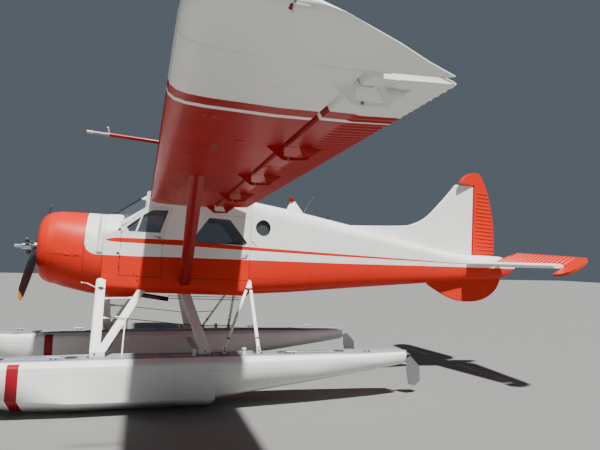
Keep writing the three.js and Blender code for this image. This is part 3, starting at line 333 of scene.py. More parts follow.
def makeMoulded(name, code, roughness, pebble=0.00556):  # matt surface that the mould left finely pebbled
    material, tree, shader = startMaterial(name, roughness)
    vector = addNode(tree, "TexCoord").outputs["Object"]
    grains = addNode(tree, "TexNoise", {"Vector": vector, "Scale": 1 / pebble, "Detail": 3.0}).outputs[0]
    tone = addNode(tree, "MapRange", {0: grains, 1: 0.3, 2: 0.7, 3: 0.8, 4: 1.1}).outputs[0]
    shade = addNode(tree, "VectorMath", {0: toLinear(code)[:3], "Scale": tone}, operation="SCALE")
    tree.links.new(shade.outputs[0], shader.inputs["Base Color"])
    bump = addNode(tree, "Bump", {"Height": grains, "Distance": mould["depth"], "Strength": mould["relief"]})
    tree.links.new(bump.outputs[0], shader.inputs["Normal"])
    return material


bladePaint = {"body": "#17171a", "tip": "#e08a1c", "bare": "#4a4a4c", "tipFrom": 1.2, "chipSize": 0.0333}


def makeBladePaint():  # matt black forged aluminium with an amber tip, worn a little by spray
    material, tree, shader = startMaterial("bladePaint", 0.45)
    (x, y, z), vector = objectAxes(tree, airframe, rigTurn)
    up = compute(tree, "SUBTRACT", z, stance["shaft"])
    spot = addNode(tree, "CombineXYZ", {0: y, 1: up}).outputs[0]
    radius = addNode(tree, "VectorMath", {0: spot}, operation="LENGTH").outputs["Value"]
    tip = compute(tree, "GREATER_THAN", radius, bladePaint["tipFrom"])
    chips = {"Vector": vector, "Scale": 1 / bladePaint["chipSize"], "Detail": 6.0}
    wear = addNode(tree, "TexNoise", chips).outputs[0]
    worn = addNode(tree, "MapRange", {0: wear, 1: 0.58, 2: 0.75, 3: 0.0, 4: 0.5}).outputs[0]
    colour = chooseColour(tree, tip, toLinear(bladePaint["body"]), toLinear(bladePaint["tip"]))
    colour = chooseColour(tree, worn, colour, toLinear(bladePaint["bare"]))
    tree.links.new(colour, shader.inputs["Base Color"])
    return material


acrylic = {"deep": "#aab4bb", "thin": "#bcc6cc", "patchSize": 0.333}


def makeTintedAcrylic():  # blown acrylic sheet: smoky, clear enough to show the cabin
    material, tree, shader = startMaterial("tintedAcrylic", 0.08, IOR=1.49, Transmission_Weight=0.9)
    vector = addNode(tree, "TexCoord").outputs["Object"]
    patches = {"Vector": vector, "Scale": 1 / acrylic["patchSize"], "Detail": 3.0}
    haze = addNode(tree, "TexNoise", patches).outputs[0]
    colour = chooseColour(tree, haze, toLinear(acrylic["deep"]), toLinear(acrylic["thin"]))
    tree.links.new(colour, shader.inputs["Base Color"])
    return material


def waveScale(pitch):  # a Wave texture at scale 1 repeats every tau / 20 metres
    return math.tau / 20 / pitch


lampRibShine = {"ribPitch": 0.005236}


def makeLens(name, code):  # pressed coloured glass over a lamp: clear, with lighter and darker stripes for its ribs catching the light, a painted highlight and painted shade
    material, tree, shader = startMaterial(name, 0.15, IOR=1.5, Transmission_Weight=0.35)
    vector = addNode(tree, "TexCoord").outputs["Object"]
    ribShineStripes = {"Vector": vector, "Scale": waveScale(lampRibShine["ribPitch"])}
    # Bands that brighten and darken the glass colour: painted highlight and painted shade of the ribs
    ribs = addNode(tree, "TexWave", ribShineStripes, bands_direction="Z").outputs[1]
    shade = addNode(tree, "MapRange", {0: ribs, 1: 0.0, 2: 1.0, 3: 0.8, 4: 1.1}).outputs[0]
    tinted = addNode(tree, "VectorMath", {0: toLinear(code)[:3], "Scale": shade}, operation="SCALE")
    tree.links.new(tinted.outputs[0], shader.inputs["Base Color"])
    return material


# Threads are 2 mm apart, drawn at 12 mm so that they show
clothWeave = {"pitch": 0.01208, "waver": 0.4, "depth": 0.001, "relief": 0.6, "gap": "#2c2a2b",
              "thread": "#575150"}


def makeSeatCloth():  # woven tweed: soft, matt, with a faint check
    material, tree, shader = startMaterial("wovenSeatCloth", 0.9, Sheen_Weight=0.3)
    vector = addNode(tree, "TexCoord").outputs["Object"]
    threads = {"Vector": vector, "Scale": waveScale(clothWeave["pitch"]), "Distortion": clothWeave["waver"]}
    warp = addNode(tree, "TexWave", threads, bands_direction="Y")
    weft = addNode(tree, "TexWave", threads, bands_direction="Z")
    weave = compute(tree, "MAXIMUM", warp.outputs[1], weft.outputs[1])
    colour = chooseColour(tree, weave, toLinear(clothWeave["gap"]), toLinear(clothWeave["thread"]))
    tree.links.new(colour, shader.inputs["Base Color"])
    relief = {"Height": weave, "Distance": clothWeave["depth"], "Strength": clothWeave["relief"]}
    bump = addNode(tree, "Bump", relief)
    tree.links.new(bump.outputs[0], shader.inputs["Normal"])
    return material


fuselageEnamel = makeFuselageEnamel()
wingEnamel = makeWingEnamel()
floatEnamel = makeFloatEnamel()
orangeEnamel = makeSprayedEnamel("orangeEnamel", paints["orange"])
whiteEnamel = makeSprayedEnamel("whiteEnamel", paints["white"])
postEnamel = makePostEnamel()
# The struts' deep red is the body's orange-red paint darkened: painted shade
strutEnamelInShade = makeSprayedEnamel("strutEnamelInShade", paints["crimson"])
# Sand-cast skins are oxidised, so they are half matt and show their fins in shade
castIron = makeMetal("castIron", "#6f6c69", 0.6, stain="#4a433c", metallic=0.35)
castAlloy = makeMetal("castAlloy", "#a5a7a8", 0.5, metallic=0.5)
forgedSteel = makeMetal("forgedSteel", "#8f9193", 0.34)  # forged and wire-brushed: soft, greyish shine
polishedSteel = makeMetal("polishedSteel", "#d9dadb", 0.16)  # buffed: bright, clear highlights
milledAluminium = makeMetal("milledAluminium", "#b6b8ba", 0.3)  # milled and drawn: pale satin streaks
heatStainedSteel = makeMetal("heatStainedSteel", "#7c6a5c", 0.42, stain="#3f3a3d")  # rolled, browned by heat
bladePaintMaterial = makeBladePaint()
moulding = makeMoulded("mouldedPhenolic", "#1c1c1e", 0.7)  # pressed in a die: black and evenly matt
sealRubberAndOpeningShade = makeMoulded("sealRubberAndOpeningShade", "#17181a", 0.6)  # extruded rubber: black with a faint sheen; also the black painted shade in the louvre slots and drain holes
nonSlipRubber = makeMoulded("nonSlipRubber", "#7d8286", 0.9, 0.0025)  # gritted mat: grey and dull
ceramic = makeMoulded("glazedCeramic", "#d8cfbd", 0.3)  # fired and glazed: cream with a soft gloss
braidedLead = makeMoulded("braidedLead", "#5a4a3a", 0.7, 0.002)  # woven cover: brown, finely broken up
tarredRope = makeMoulded("tarredRope", "#2a2622", 0.85, 0.00333)  # laid, tarred fibre: nearly black, rough
tintedAcrylic = makeTintedAcrylic()
redLens = makeLens("redLens", "#a00d12")
greenLens = makeLens("greenLens", "#0f7a3c")
clearLens = makeLens("clearLens", "#dfe3e4")
seatCloth = makeSeatCloth()
print("materials made")


# Shapes

def placeObject(name, mesh, material, body, sharp=35):
    piece = bpy.data.objects.new(name, mesh)
    bpy.context.scene.collection.objects.link(piece)
    mesh.materials.clear()
    mesh.materials.append(material)
    mesh.polygons.foreach_set("use_smooth", [True] * len(mesh.polygons))
    mesh.set_sharp_from_angle(angle=math.radians(sharp))
    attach(piece, body)
    return piece


def evenShading(piece):  # large flat panels keep their own shading beside rounded edges
    weighted = piece.modifiers.new("evenShading", "WEIGHTED_NORMAL")
    weighted.keep_sharp = True


def dressNode(name, material, sharp=35):  # smooth-shaded skin over a node of the frame
    source = nodes[name]
    bm = bmesh.new()
    bm.from_mesh(source.data)
    bmesh.ops.remove_doubles(bm, verts=bm.verts, dist=0.00002)
    bmesh.ops.dissolve_limit(bm, angle_limit=math.radians(0.05), verts=bm.verts, edges=bm.edges)
    mesh = bpy.data.meshes.new(name + "_skin")
    bm.to_mesh(mesh)
    bm.free()
    piece = placeObject(name + "_skin", mesh, material, source["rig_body"], sharp)
    evenShading(piece)
    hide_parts(name)
    return piece


def finishPiece(name, bm, material, body, place=airframe, sharp=35, bevel=0.0, replaces=()):
    bmesh.ops.transform(bm, matrix=place, verts=bm.verts)
    bmesh.ops.remove_doubles(bm, verts=bm.verts, dist=0.00001)
    bmesh.ops.recalc_face_normals(bm, faces=bm.faces)
    mesh = bpy.data.meshes.new(name)
    bm.to_mesh(mesh)
    bm.free()
    piece = placeObject(name, mesh, material, body, sharp)
    if bevel:
        soften = piece.modifiers.new("softEdge", "BEVEL")
        soften.width, soften.segments, soften.limit_method = bevel, 2, "ANGLE"
        soften.angle_limit = math.radians(40)
        evenShading(piece)
    if replaces:
        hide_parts(*replaces)
    return piece


def pointing(start, end):  # turns Z to point from start to end, centred between them
    start, end = Vector(start), Vector(end)
    return Matrix.Translation((start + end) / 2) @ (end - start).to_track_quat("Z", "Y").to_matrix().to_4x4()


def addTube(bm, start, end, radius, endRadius=None, segments=12):
    length = (Vector(end) - Vector(start)).length
    last = radius if endRadius is None else endRadius
    bmesh.ops.create_cone(bm, cap_ends=True, segments=segments, radius1=radius, radius2=last, depth=length,
                          matrix=pointing(start, end))


def addBlock(bm, low, high):
    low, high = Vector(low), Vector(high)
    place = Matrix.Translation((low + high) / 2) @ Matrix.Diagonal((*(high - low), 1))
    bmesh.ops.create_cube(bm, size=1, matrix=place)


def addBall(bm, centre, radii, segments=16):
    place = Matrix.Translation(centre) @ Matrix.Diagonal((*radii, 1))
    bmesh.ops.create_uvsphere(bm, u_segments=segments, v_segments=segments // 2, radius=1, matrix=place)


def moveNew(bm, before, place):  # what was added since the points in before
    bmesh.ops.transform(bm, matrix=place, verts=[v for v in bm.verts if v not in before])


def addTurned(bm, rows, place, steps=24, closed=False):  # rows of (distance along Z, radius) spun round Z
    before = set(bm.verts)
    dots = [bm.verts.new((radius, 0, along)) for along, radius in rows]
    pairs = list(zip(dots, dots[1:])) + ([(dots[-1], dots[0])] if closed else [])
    edges = [bm.edges.new(pair) for pair in pairs]
    bmesh.ops.spin(bm, geom=dots + edges, cent=(0, 0, 0), axis=(0, 0, 1), angle=math.tau, steps=steps,
                   use_merge=True)
    made = [v for v in bm.verts if v not in before]
    bmesh.ops.remove_doubles(bm, verts=made, dist=0.00001)
    moveNew(bm, before, place)


def thicken(bm, faces, push):  # flat faces made solid by a push
    made = bmesh.ops.extrude_face_region(bm, geom=faces)["geom"]
    bmesh.ops.translate(bm, vec=push, verts=[v for v in made if isinstance(v, bmesh.types.BMVert)])


def addSlab(bm, points, push):  # flat outline made a plate
    face = bm.faces.new([bm.verts.new(p) for p in points])
    thicken(bm, [face], push)


def addFrame(bm, points, width, push):  # flat outline made a frame of the given width
    face = bm.faces.new([bm.verts.new(p) for p in points])
    rim = bmesh.ops.inset_individual(bm, faces=[face], thickness=width, use_even_offset=True)["faces"]
    bmesh.ops.delete(bm, geom=[face], context="FACES_ONLY")
    thicken(bm, rim, push)


def addLoft(bm, rings):  # skin through rings of equally many points, closed at both ends
    count = len(rings[0])
    current = [bm.verts.new(p) for p in rings[0]]
    edges = [bm.edges.new((current[i], current[(i + 1) % count])) for i in range(count)]
    bm.faces.new(current)
    for ring in rings[1:]:
        made = bmesh.ops.extrude_edge_only(bm, edges=edges)["geom"]
        fresh = {v for v in made if isinstance(v, bmesh.types.BMVert)}
        following = []
        for old, spot in zip(current, ring):
            new = next(e.other_vert(old) for e in old.link_edges if e.other_vert(old) in fresh)
            new.co = spot
            following.append(new)
        current = following
        edges = [bm.edges.get((current[i], current[(i + 1) % count])) for i in range(count)]
    bm.faces.new(current)


def onSide(points, y):  # side-view outline as points at one distance from the centre line
    return [(x, y, z) for x, z in points]


def heightAt(table, x):  # straight lines between the rows of a table of (x, z)
    rows = sorted(table)
    for (x0, z0), (x1, z1) in zip(rows, rows[1:]):
        if x <= x1:
            return z0 + (max(x, x0) - x0) / (x1 - x0) * (z1 - z0)
    return rows[-1][1]


# Nodes of the frame that keep their own form and get a finish
dressing = {
    fuselageEnamel: ["nose_ring", "cowl_upper", "cowl_lower", "accessory_cowl", "nose_deck",
                     "side_wall_left", "side_wall_right", "front_door_left", "front_door_right",
                     "cabin_door_left", "cabin_door_right", "cabin_floor", "cabin_roof", "rear_fuselage",
                     "tail_cone"],
    wingEnamel: ["wing_left", "wing_right", "flap_left", "flap_right", "aileron_left", "aileron_right"],
    orangeEnamel: ["elevator"],
    strutEnamelInShade: ["wing_strut_left", "wing_strut_right"],
    postEnamel: ["windscreen_frame"],
    whiteEnamel: ["tailplane", "front_struts_left", "front_struts_right",
                  "rear_strut_left", "rear_strut_right", "vee_strut_left", "vee_strut_right"],
    floatEnamel: ["float_left", "float_right"],
    forgedSteel: ["firewall"],
    heatStainedSteel: ["exhaust_pipe"],
    milledAluminium: ["water_rudder_left", "water_rudder_right", "spreader_bar_front", "spreader_bar_rear"],
    moulding: ["instrument_panel"],
    tintedAcrylic: ["front_door_glass_left", "front_door_glass_right", "cabin_door_glass_left",
                    "cabin_door_glass_right", "windscreen_left", "windscreen_right", "porthole_glass_left",
                    "porthole_glass_right"],
}
for material, names in dressing.items():
    for name in names:
        dressNode(name, material)
print("frame dressed")


# Propeller: forged blades, bracket hub, oil-filled dome and counterweights, drawn with the shaft along X.
# Blade rows are (radius, chord, thickness, pitch), and turned rows are (distance along the shaft, radius)
propeller = {
    "x": 1.655, "turn": -35.0,
    "blade": [(0.0985, 0.09, 0.09, 45), (0.125, 0.09, 0.09, 45), (0.21, 0.096, 0.08, 45),
              (0.36, 0.142, 0.048, 40), (0.64, 0.182, 0.028, 28), (0.96, 0.184, 0.018, 22),
              (1.18, 0.168, 0.013, 19), (1.265, 0.14, 0.01, 18), (1.29, 0.1, 0.007, 18),
              (1.295, 0.07, 0.006, 18)],
    "barrel": [(-0.064, 0), (-0.064, 0.06), (-0.058, 0.068), (-0.02, 0.072), (-0.01, 0.074), (0.06, 0.074),
               (0.078, 0.07), (0.086, 0.06), (0.088, 0)],
    "sleeve": {"from": 0.02, "to": 0.098, "radius": 0.056}, "clamps": (0.052, 0.09),
    "clamp": {"half": 0.008, "radius": 0.062},
    "clampBolt": {"x": 0.05, "y": 0.072, "half": 0.058, "radius": 0.008},
    "dome": [(0.086, 0), (0.086, 0.052), (0.1, 0.052), (0.104, 0.048), (0.196, 0.048), (0.2, 0.052),
             (0.214, 0.052), (0.22, 0.046), (0.226, 0.027), (0.326, 0.027), (0.331, 0.022), (0.331, 0)],
    "arm": {"from": (0.04, 0.02, 0.06), "to": (0.12, 0.03, 0.125), "radius": 0.014},
    "weight": [(-0.0225, 0), (-0.0225, 0.028), (-0.018, 0.034), (0.018, 0.034), (0.0225, 0.028),
               (0.0225, 0)],
    "weightAt": (0.135, 0.02, 0.13),
}
hubFrame = (airframe @ Matrix.Translation((propeller["x"], 0, stance["shaft"]))
            @ Matrix.Rotation(math.radians(propeller["turn"]), 4, "X"))
alongX = Matrix.Rotation(math.radians(90), 4, "Y")
alongMinusY = Matrix.Rotation(math.radians(90), 4, "X")


def bladeRing(radius, chord, thick, pitch, steps=12):
    lean = math.radians(pitch)
    ring = []
    for i in range(steps):
        turn = i / steps * math.tau
        u, v = math.cos(turn) * chord / 2, math.sin(turn) * thick / 2
        x, z = u * math.sin(lean) + v * math.cos(lean), u * math.cos(lean) - v * math.sin(lean)
        ring.append((x, radius, z))
    return ring


def buildPropeller():
    for number, flip in ((1, 0.0), (2, math.pi)):
        bm = bmesh.new()
        addLoft(bm, [bladeRing(*row) for row in propeller["blade"]])
        bmesh.ops.transform(bm, matrix=Matrix.Rotation(flip, 4, "X"), verts=bm.verts)
        blade = finishPiece(f"propellerBlade{number}", bm, bladePaintMaterial, "propeller",
                            hubFrame, 60, replaces=[f"propeller_blade_{number}"])
        smooth = blade.modifiers.new("smoothBlade", "SUBSURF")
        smooth.levels = smooth.render_levels = 2
    bm = bmesh.new()
    addTurned(bm, propeller["barrel"], alongX)
    sleeve, clamp, bolt = propeller["sleeve"], propeller["clamp"], propeller["clampBolt"]
    for way in (1, -1):
        addTube(bm, (0, way * sleeve["from"], 0), (0, way * sleeve["to"], 0), sleeve["radius"], segments=24)
        for at in propeller["clamps"]:
            low, high = way * (at - clamp["half"]), way * (at + clamp["half"])
            addTube(bm, (0, low, 0), (0, high, 0), clamp["radius"], segments=24)
        for x in (-bolt["x"], bolt["x"]):
            y = way * bolt["y"]
            addTube(bm, (x, y, -bolt["half"]), (x, y, bolt["half"]), bolt["radius"], segments=8)
    finishPiece("propellerHub", bm, forgedSteel, "propeller", hubFrame, replaces=["propeller_hub"])
    bm = bmesh.new()
    addTurned(bm, propeller["dome"], alongX, 32)
    finishPiece("propellerDome", bm, polishedSteel, "propeller", hubFrame)
    bm = bmesh.new()
    arm = propeller["arm"]
    for way in (1, -1):
        turned = Matrix.Diagonal((1, way, way, 1))
        addTube(bm, turned @ Vector(arm["from"]), turned @ Vector(arm["to"]), arm["radius"], segments=10)
        spot = Matrix.Translation(turned @ Vector(propeller["weightAt"]))
        addTurned(bm, propeller["weight"], spot @ alongMinusY, 16)
    finishPiece("bladeCounterweights", bm, castIron, "propeller", hubFrame, bevel=0.001)


buildPropeller()
print("propeller built")


# Nine-cylinder engine: cases, finned barrels and heads, pushrod tubes, plugs and ignition leads.
# Places on a cylinder are (along the shaft, across, out from the shaft), and a pushrod's ends are
# (along the shaft, out from the shaft)
engine = {
    "cylinders": 9, "x": 1.24,
    "cases": [(0.666, 0), (0.666, 0.32), (0.68, 0.33), (1.07, 0.33), (1.085, 0.32), (1.1, 0.25),
              (1.12, 0.236), (1.36, 0.236), (1.38, 0.25), (1.4, 0.25), (1.405, 0.215), (1.43, 0.2),
              (1.47, 0.185), (1.52, 0.15), (1.555, 0.112), (1.57, 0.1), (1.586, 0.074), (1.589, 0)],
    "studs": {"count": 18, "x": 1.4, "circle": 0.232, "back": 0.004, "front": 0.01, "radius": 0.008},
    "foot": 0.235, "barrelTop": 0.43, "neck": 0.06, "finPitch": 0.014, "finRadius": 0.082,
    "wallRadius": 0.066,
    "headFins": {"count": 6, "half": 0.074, "taper": 0.004, "lowest": 0.442, "pitch": 0.014, "thick": 0.006},
    "rockers": {"x": 0.045, "halfX": 0.026, "halfY": 0.05, "low": 0.48, "top": 0.538},
    "dome": {"out": 0.46, "radii": (0.06, 0.06, 0.07)},
    "pushrod": {"y": 0.028, "splay": 1.4, "from": (0.125, 0.24), "to": (0.05, 0.5), "radius": 0.009},
    "plug": {"at": (0.05, 0.062, 0.46), "reach": (0.04, 0.0186, 0.012), "radius": 0.009},
    "lead": {"bend": (0.13, 0.0682, 0.36), "end": (0.15, 0.031, 0.235), "radius": 0.005},
}


def addBarrel(bm, place):  # cylinder wall with a cooling fin at each pitch
    along, wall, fin, pitch = engine["foot"], engine["wallRadius"], engine["finRadius"], engine["finPitch"]
    rows = [(along, 0)]
    while along < engine["barrelTop"]:
        gap = along + pitch * 0.6
        rows += [(along, wall), (gap, wall), (gap, fin), (along + pitch, fin)]
        along += pitch
    rows += [(along, wall), (along + engine["neck"], wall), (along + engine["neck"], 0)]
    addTurned(bm, rows, place, 20)


def addHead(bm, place):  # square fins that narrow upwards, two rocker boxes and the dome between them
    before = set(bm.verts)
    fins, rockers, dome = engine["headFins"], engine["rockers"], engine["dome"]
    for level in range(fins["count"]):
        low, reach = fins["lowest"] + level * fins["pitch"], fins["half"] - fins["taper"] * level
        addBlock(bm, (-reach, -reach, low), (reach, reach, low + fins["thick"]))
    for x in (-rockers["x"], rockers["x"]):
        addBlock(bm, (x - rockers["halfX"], -rockers["halfY"], rockers["low"]),
                 (x + rockers["halfX"], rockers["halfY"], rockers["top"]))
    addBall(bm, (0, 0, dome["out"]), dome["radii"], 12)
    moveNew(bm, before, place)


def buildEngine():
    shaft = airframe @ Matrix.Translation((0, 0, stance["shaft"]))
    bm = bmesh.new()
    addTurned(bm, engine["cases"], alongX, 36)
    studs = engine["studs"]
    for i in range(studs["count"]):
        turn = i / studs["count"] * math.tau
        y, z = math.cos(turn) * studs["circle"], math.sin(turn) * studs["circle"]
        addTube(bm, (studs["x"] - studs["back"], y, z), (studs["x"] + studs["front"], y, z), studs["radius"],
                segments=6)
    finishPiece("engineCases", bm, castAlloy, "airframe", shaft, replaces=["engine"])
    barrels, heads, tubes, plugs, leads = (bmesh.new() for _ in range(5))
    rod, plug, lead = engine["pushrod"], engine["plug"], engine["lead"]
    for i in range(engine["cylinders"]):
        turn = Matrix.Rotation(i / engine["cylinders"] * math.tau, 4, "X")
        up = Matrix.Translation((engine["x"], 0, 0)) @ turn
        addBarrel(barrels, up)
        addHead(heads, up)
        for way in (-1, 1):
            mirror = Matrix.Diagonal((1, way, 1, 1))
            (x0, z0), (x1, z1) = rod["from"], rod["to"]
            low = up @ Vector((x0, way * rod["y"] * rod["splay"], z0))
            addTube(tubes, low, up @ Vector((x1, way * rod["y"], z1)), rod["radius"], segments=8)
            seat, bend = Vector(plug["at"]), up @ mirror @ Vector(lead["bend"])
            cap = up @ mirror @ (seat + Vector(plug["reach"]))
            addTube(plugs, up @ mirror @ seat, cap, plug["radius"], segments=6)
            addTube(leads, cap, bend, lead["radius"], segments=6)
            addTube(leads, bend, up @ mirror @ Vector(lead["end"]), lead["radius"], segments=6)
    finishPiece("cylinderBarrels", barrels, castIron, "airframe", shaft)
    finishPiece("cylinderHeads", heads, castAlloy, "airframe", shaft)
    finishPiece("pushrodTubes", tubes, milledAluminium, "airframe", shaft)
    finishPiece("sparkPlugs", plugs, ceramic, "airframe", shaft)
    finishPiece("ignitionLeads", leads, braidedLead, "airframe", shaft)


buildEngine()
print("engine built")


# Cowling and nose trim, in the airframe's axes: rear fairing, screws, latches, louvres and drain holes.
# The cowl's rows are (x, height or half width), and the trim's are (x, z)
cowlShape = {
    "top": [(0.641, -0.19), (0.88, -0.187), (0.915, -0.187), (1.345, -0.193)],
    "bottom": [(0.641, -1.5), (0.88, -1.462), (0.915, -1.455), (1.22, -1.385), (1.345, -1.347)],
    "half": [(0.641, 0.61), (0.88, 0.612), (0.915, 0.612), (1.22, 0.595), (1.345, 0.577)],
    "round": 2.15, "shoulder": -0.6, "deckTop": -0.19, "deckHalf": 0.6105, "deckRound": 2.3,
    "lapFrom": 0.73, "lapTo": 0.6405, "lift": 0.0015, "steps": 48, "inmost": 0.97, "search": 0.0005,
    "sheet": 0.002,
}
noseTrim = {
    "screws": [(0.83, -0.463), (0.785, -0.471), (0.745, -0.479), (0.88, -0.716), (0.75, -0.81), (0.87, -0.6),
               (0.86, -0.5)],
    "screw": {"sunk": 0.004, "proud": 0.0035, "radii": (0.008, 0.006)},
    "latches": [(1.0, -0.862), (1.143, -0.865)],
    "latch": {"half": 0.03, "tall": 0.012, "sunk": 0.006, "proud": 0.004},
    "stud": {"ahead": 0.018, "radius": 0.007, "proud": 0.009},
    "louvres": [(0.179, -1.138), (0.13, -1.178), (0.117, -1.24)],
    "louvre": [(0, 0), (-0.011, -0.002), (-0.026, 0.034), (-0.015, 0.036)],
    "drains": [(-0.012, -1.113), (-0.023, -1.169)], "drain": 0.01, "wall": (0.606, 0.612),
}


def sideOfCowl(x, z):  # half width of the rounded cowl at a height
    top, bottom, half = (heightAt(cowlShape[key], x) for key in ("top", "bottom", "half"))
    share = min(abs(2 * z - top - bottom) / (top - bottom), 0.99)
    return half * (1 - share ** cowlShape["round"]) ** (1 / cowlShape["round"])


def insideDeck(y, z):  # within the deck's outline above its shoulder, and between the flat sides below
    rise = max(z - cowlShape["shoulder"], 0) / (cowlShape["deckTop"] - cowlShape["shoulder"])
    return (abs(y) / cowlShape["deckHalf"]) ** cowlShape["deckRound"] + rise ** cowlShape["deckRound"] < 1


def buildCowlFairing():  # skin that carries the round cowl over to the squarer deck and side walls
    front, rear, lift = cowlShape["lapFrom"], cowlShape["lapTo"], cowlShape["lift"]
    top, bottom, half = (heightAt(cowlShape[key], front) for key in ("top", "bottom", "half"))
    middle, tall, power = (top + bottom) / 2, (top - bottom) / 2 + lift, 2 / cowlShape["round"]
    bm = bmesh.new()
    before = None
    for i in range(cowlShape["steps"] + 1):
        turn = i / cowlShape["steps"] * math.pi
        y = (half + lift) * math.copysign(abs(math.cos(turn)) ** power, math.cos(turn))
        rise = tall * math.sin(turn) ** power
        reach = cowlShape["inmost"]
        while insideDeck(y * reach, middle + rise * reach):
            reach += cowlShape["search"]
        ends = (front, y, middle + rise), (rear, y * reach, middle + rise * reach)
        pair = [bm.verts.new(end) for end in ends]
        if before:
            bm.faces.new([before[0], pair[0], pair[1], before[1]])
        before = pair
    piece = finishPiece("cowlRearFairing", bm, fuselageEnamel, "airframe")
    shell = piece.modifiers.new("sheet", "SOLIDIFY")
    shell.thickness, shell.offset = cowlShape["sheet"], -1.0


def buildNoseTrim():
    screw, latch, stud = noseTrim["screw"], noseTrim["latch"], noseTrim["stud"]
    for sideName, side in sides.items():
        place = airframe @ across(side)
        bm = bmesh.new()
        for x, z in noseTrim["screws"]:
            y = sideOfCowl(x, z)
            addTube(bm, (x, y - screw["sunk"], z), (x, y + screw["proud"], z), *screw["radii"], 10)
        finishPiece(f"panelScrews_{sideName}", bm, forgedSteel, "airframe", place)
        bm = bmesh.new()
        for x, z in noseTrim["latches"]:
            y = sideOfCowl(x, z)
            addBlock(bm, (x - latch["half"], y - latch["sunk"], z - latch["tall"]),
                     (x + latch["half"], y + latch["proud"], z + latch["tall"]))
            ahead = x + stud["ahead"]
            addTube(bm, (ahead, y, z), (ahead, y + stud["proud"], z), stud["radius"], segments=10)
        finishPiece(f"cowlLatches_{sideName}", bm, orangeEnamel, "airframe", place, bevel=0.002)
        # Louvre slots and drain holes are drawn as flush black slats and discs: painted shade in the
        # openings
        bm = bmesh.new()
        inner, outer = noseTrim["wall"]
        for x, z in noseTrim["louvres"]:
            slat = [(x + dx, z + dz) for dx, dz in noseTrim["louvre"]]
            addSlab(bm, onSide(slat, inner), (0, outer - inner, 0))
        for x, z in noseTrim["drains"]:
            addTube(bm, (x, inner, z), (x, outer, z), noseTrim["drain"], segments=12)
        finishPiece(f"louvreAndDrainShade_{sideName}", bm, sealRubberAndOpeningShade, "airframe", place)


buildCowlFairing()
buildNoseTrim()


# Doors and windows: seals, the quarter light's post, the panel over the windscreen, handles, hinge
# leaves and bonding cables. Outlines are (x, z), and the header's is (y, z)
glazing = {
    "seal": 0.014, "face": 0.6085, "depth": 0.0045,
    "front": [(0.318, -0.398), (0.096, -0.208), (0.076, -0.19), (-0.068, -0.11), (-0.3, -0.1),
              (-0.19, -0.462), (0.28, -0.462)],
    "cabin": [(-0.705, -0.52), (-0.73, -0.58), (-1.54, -0.58), (-1.586, -0.54), (-1.282, -0.18),
              (-0.947, -0.168)],
    "post": [(0.187, -0.47), (0.157, -0.47), (0.076, -0.19), (0.11, -0.22)], "postFace": (0.596, 0.612),
    "porthole": {"x": -1.836, "z": -0.272, "face": 0.565},
    "portholeRing": [(0, 0.118), (0.03, 0.118), (0.033, 0.126), (0.03, 0.132), (0, 0.132)],
    "header": [(0.0, 0.186), (0.565, 0.175), (0.565, -0.112), (0.0, 0.176)], "headerAt": (0.032, 0.014),
}
doorFittings = {
    "handles": {"front": (-0.185, -0.542, 12.0), "cabin": (-1.59, -0.742, -10.0)},
    "skin": 0.606, "lift": 0.634, "rose": {"radius": 0.022, "thick": 0.006},
    "spindle": {"radius": 0.009, "foot": 0.004}, "lever": {"length": 0.085, "tip": 0.006, "drop": 0.002},
    "knob": (0.008, 0.007, 0.008),
    "hinges": [(0.388, -0.814), (0.388, -0.442), (-0.657, -1.02), (-0.657, -0.33)],
    "leaf": {"x": (0.006, 0.05), "y": (0.6095, 0.6125), "half": 0.018},
    "bolts": {"x": (0.02, 0.038), "y": (0.612, 0.616), "radius": 0.004},
    "cable": {"from": (-1.655, 0.612, -0.496), "to": (-1.75, 0.6, -0.595), "radius": 0.0035},
}


def buildGlazing():
    for sideName, side in sides.items():
        place = airframe @ across(side)
        out = (0, glazing["depth"], 0)
        for door in ("front", "cabin"):
            bm = bmesh.new()
            addFrame(bm, onSide(glazing[door], glazing["face"]), glazing["seal"], out)
            finishPiece(f"{door}WindowSeal_{sideName}", bm, sealRubberAndOpeningShade, f"{door}_door_{sideName}",
                        place)
        bm = bmesh.new()
        inner, outer = glazing["postFace"]
        addSlab(bm, onSide(glazing["post"], inner), (0, outer - inner, 0))
        finishPiece(f"quarterLightPost_{sideName}", bm, whiteEnamel, f"front_door_{sideName}",
                    place, bevel=0.002)
        bm = bmesh.new()
        hole = glazing["porthole"]
        facing = Matrix.Translation((hole["x"], hole["face"], hole["z"])) @ alongMinusY.inverted()
        addTurned(bm, glazing["portholeRing"], facing, 40, closed=True)
        finishPiece(f"portholeSeal_{sideName}", bm, sealRubberAndOpeningShade, "airframe", place)


def buildHeader():  # panel between the windscreen's upper edges and the front of the roof
    start, thick = glazing["headerAt"]
    bm = bmesh.new()
    for side in sides.values():
        addSlab(bm, [(start, side * y, z) for y, z in glazing["header"]], (thick, 0, 0))
    finishPiece("windscreenHeader", bm, whiteEnamel, "airframe", bevel=0.002)


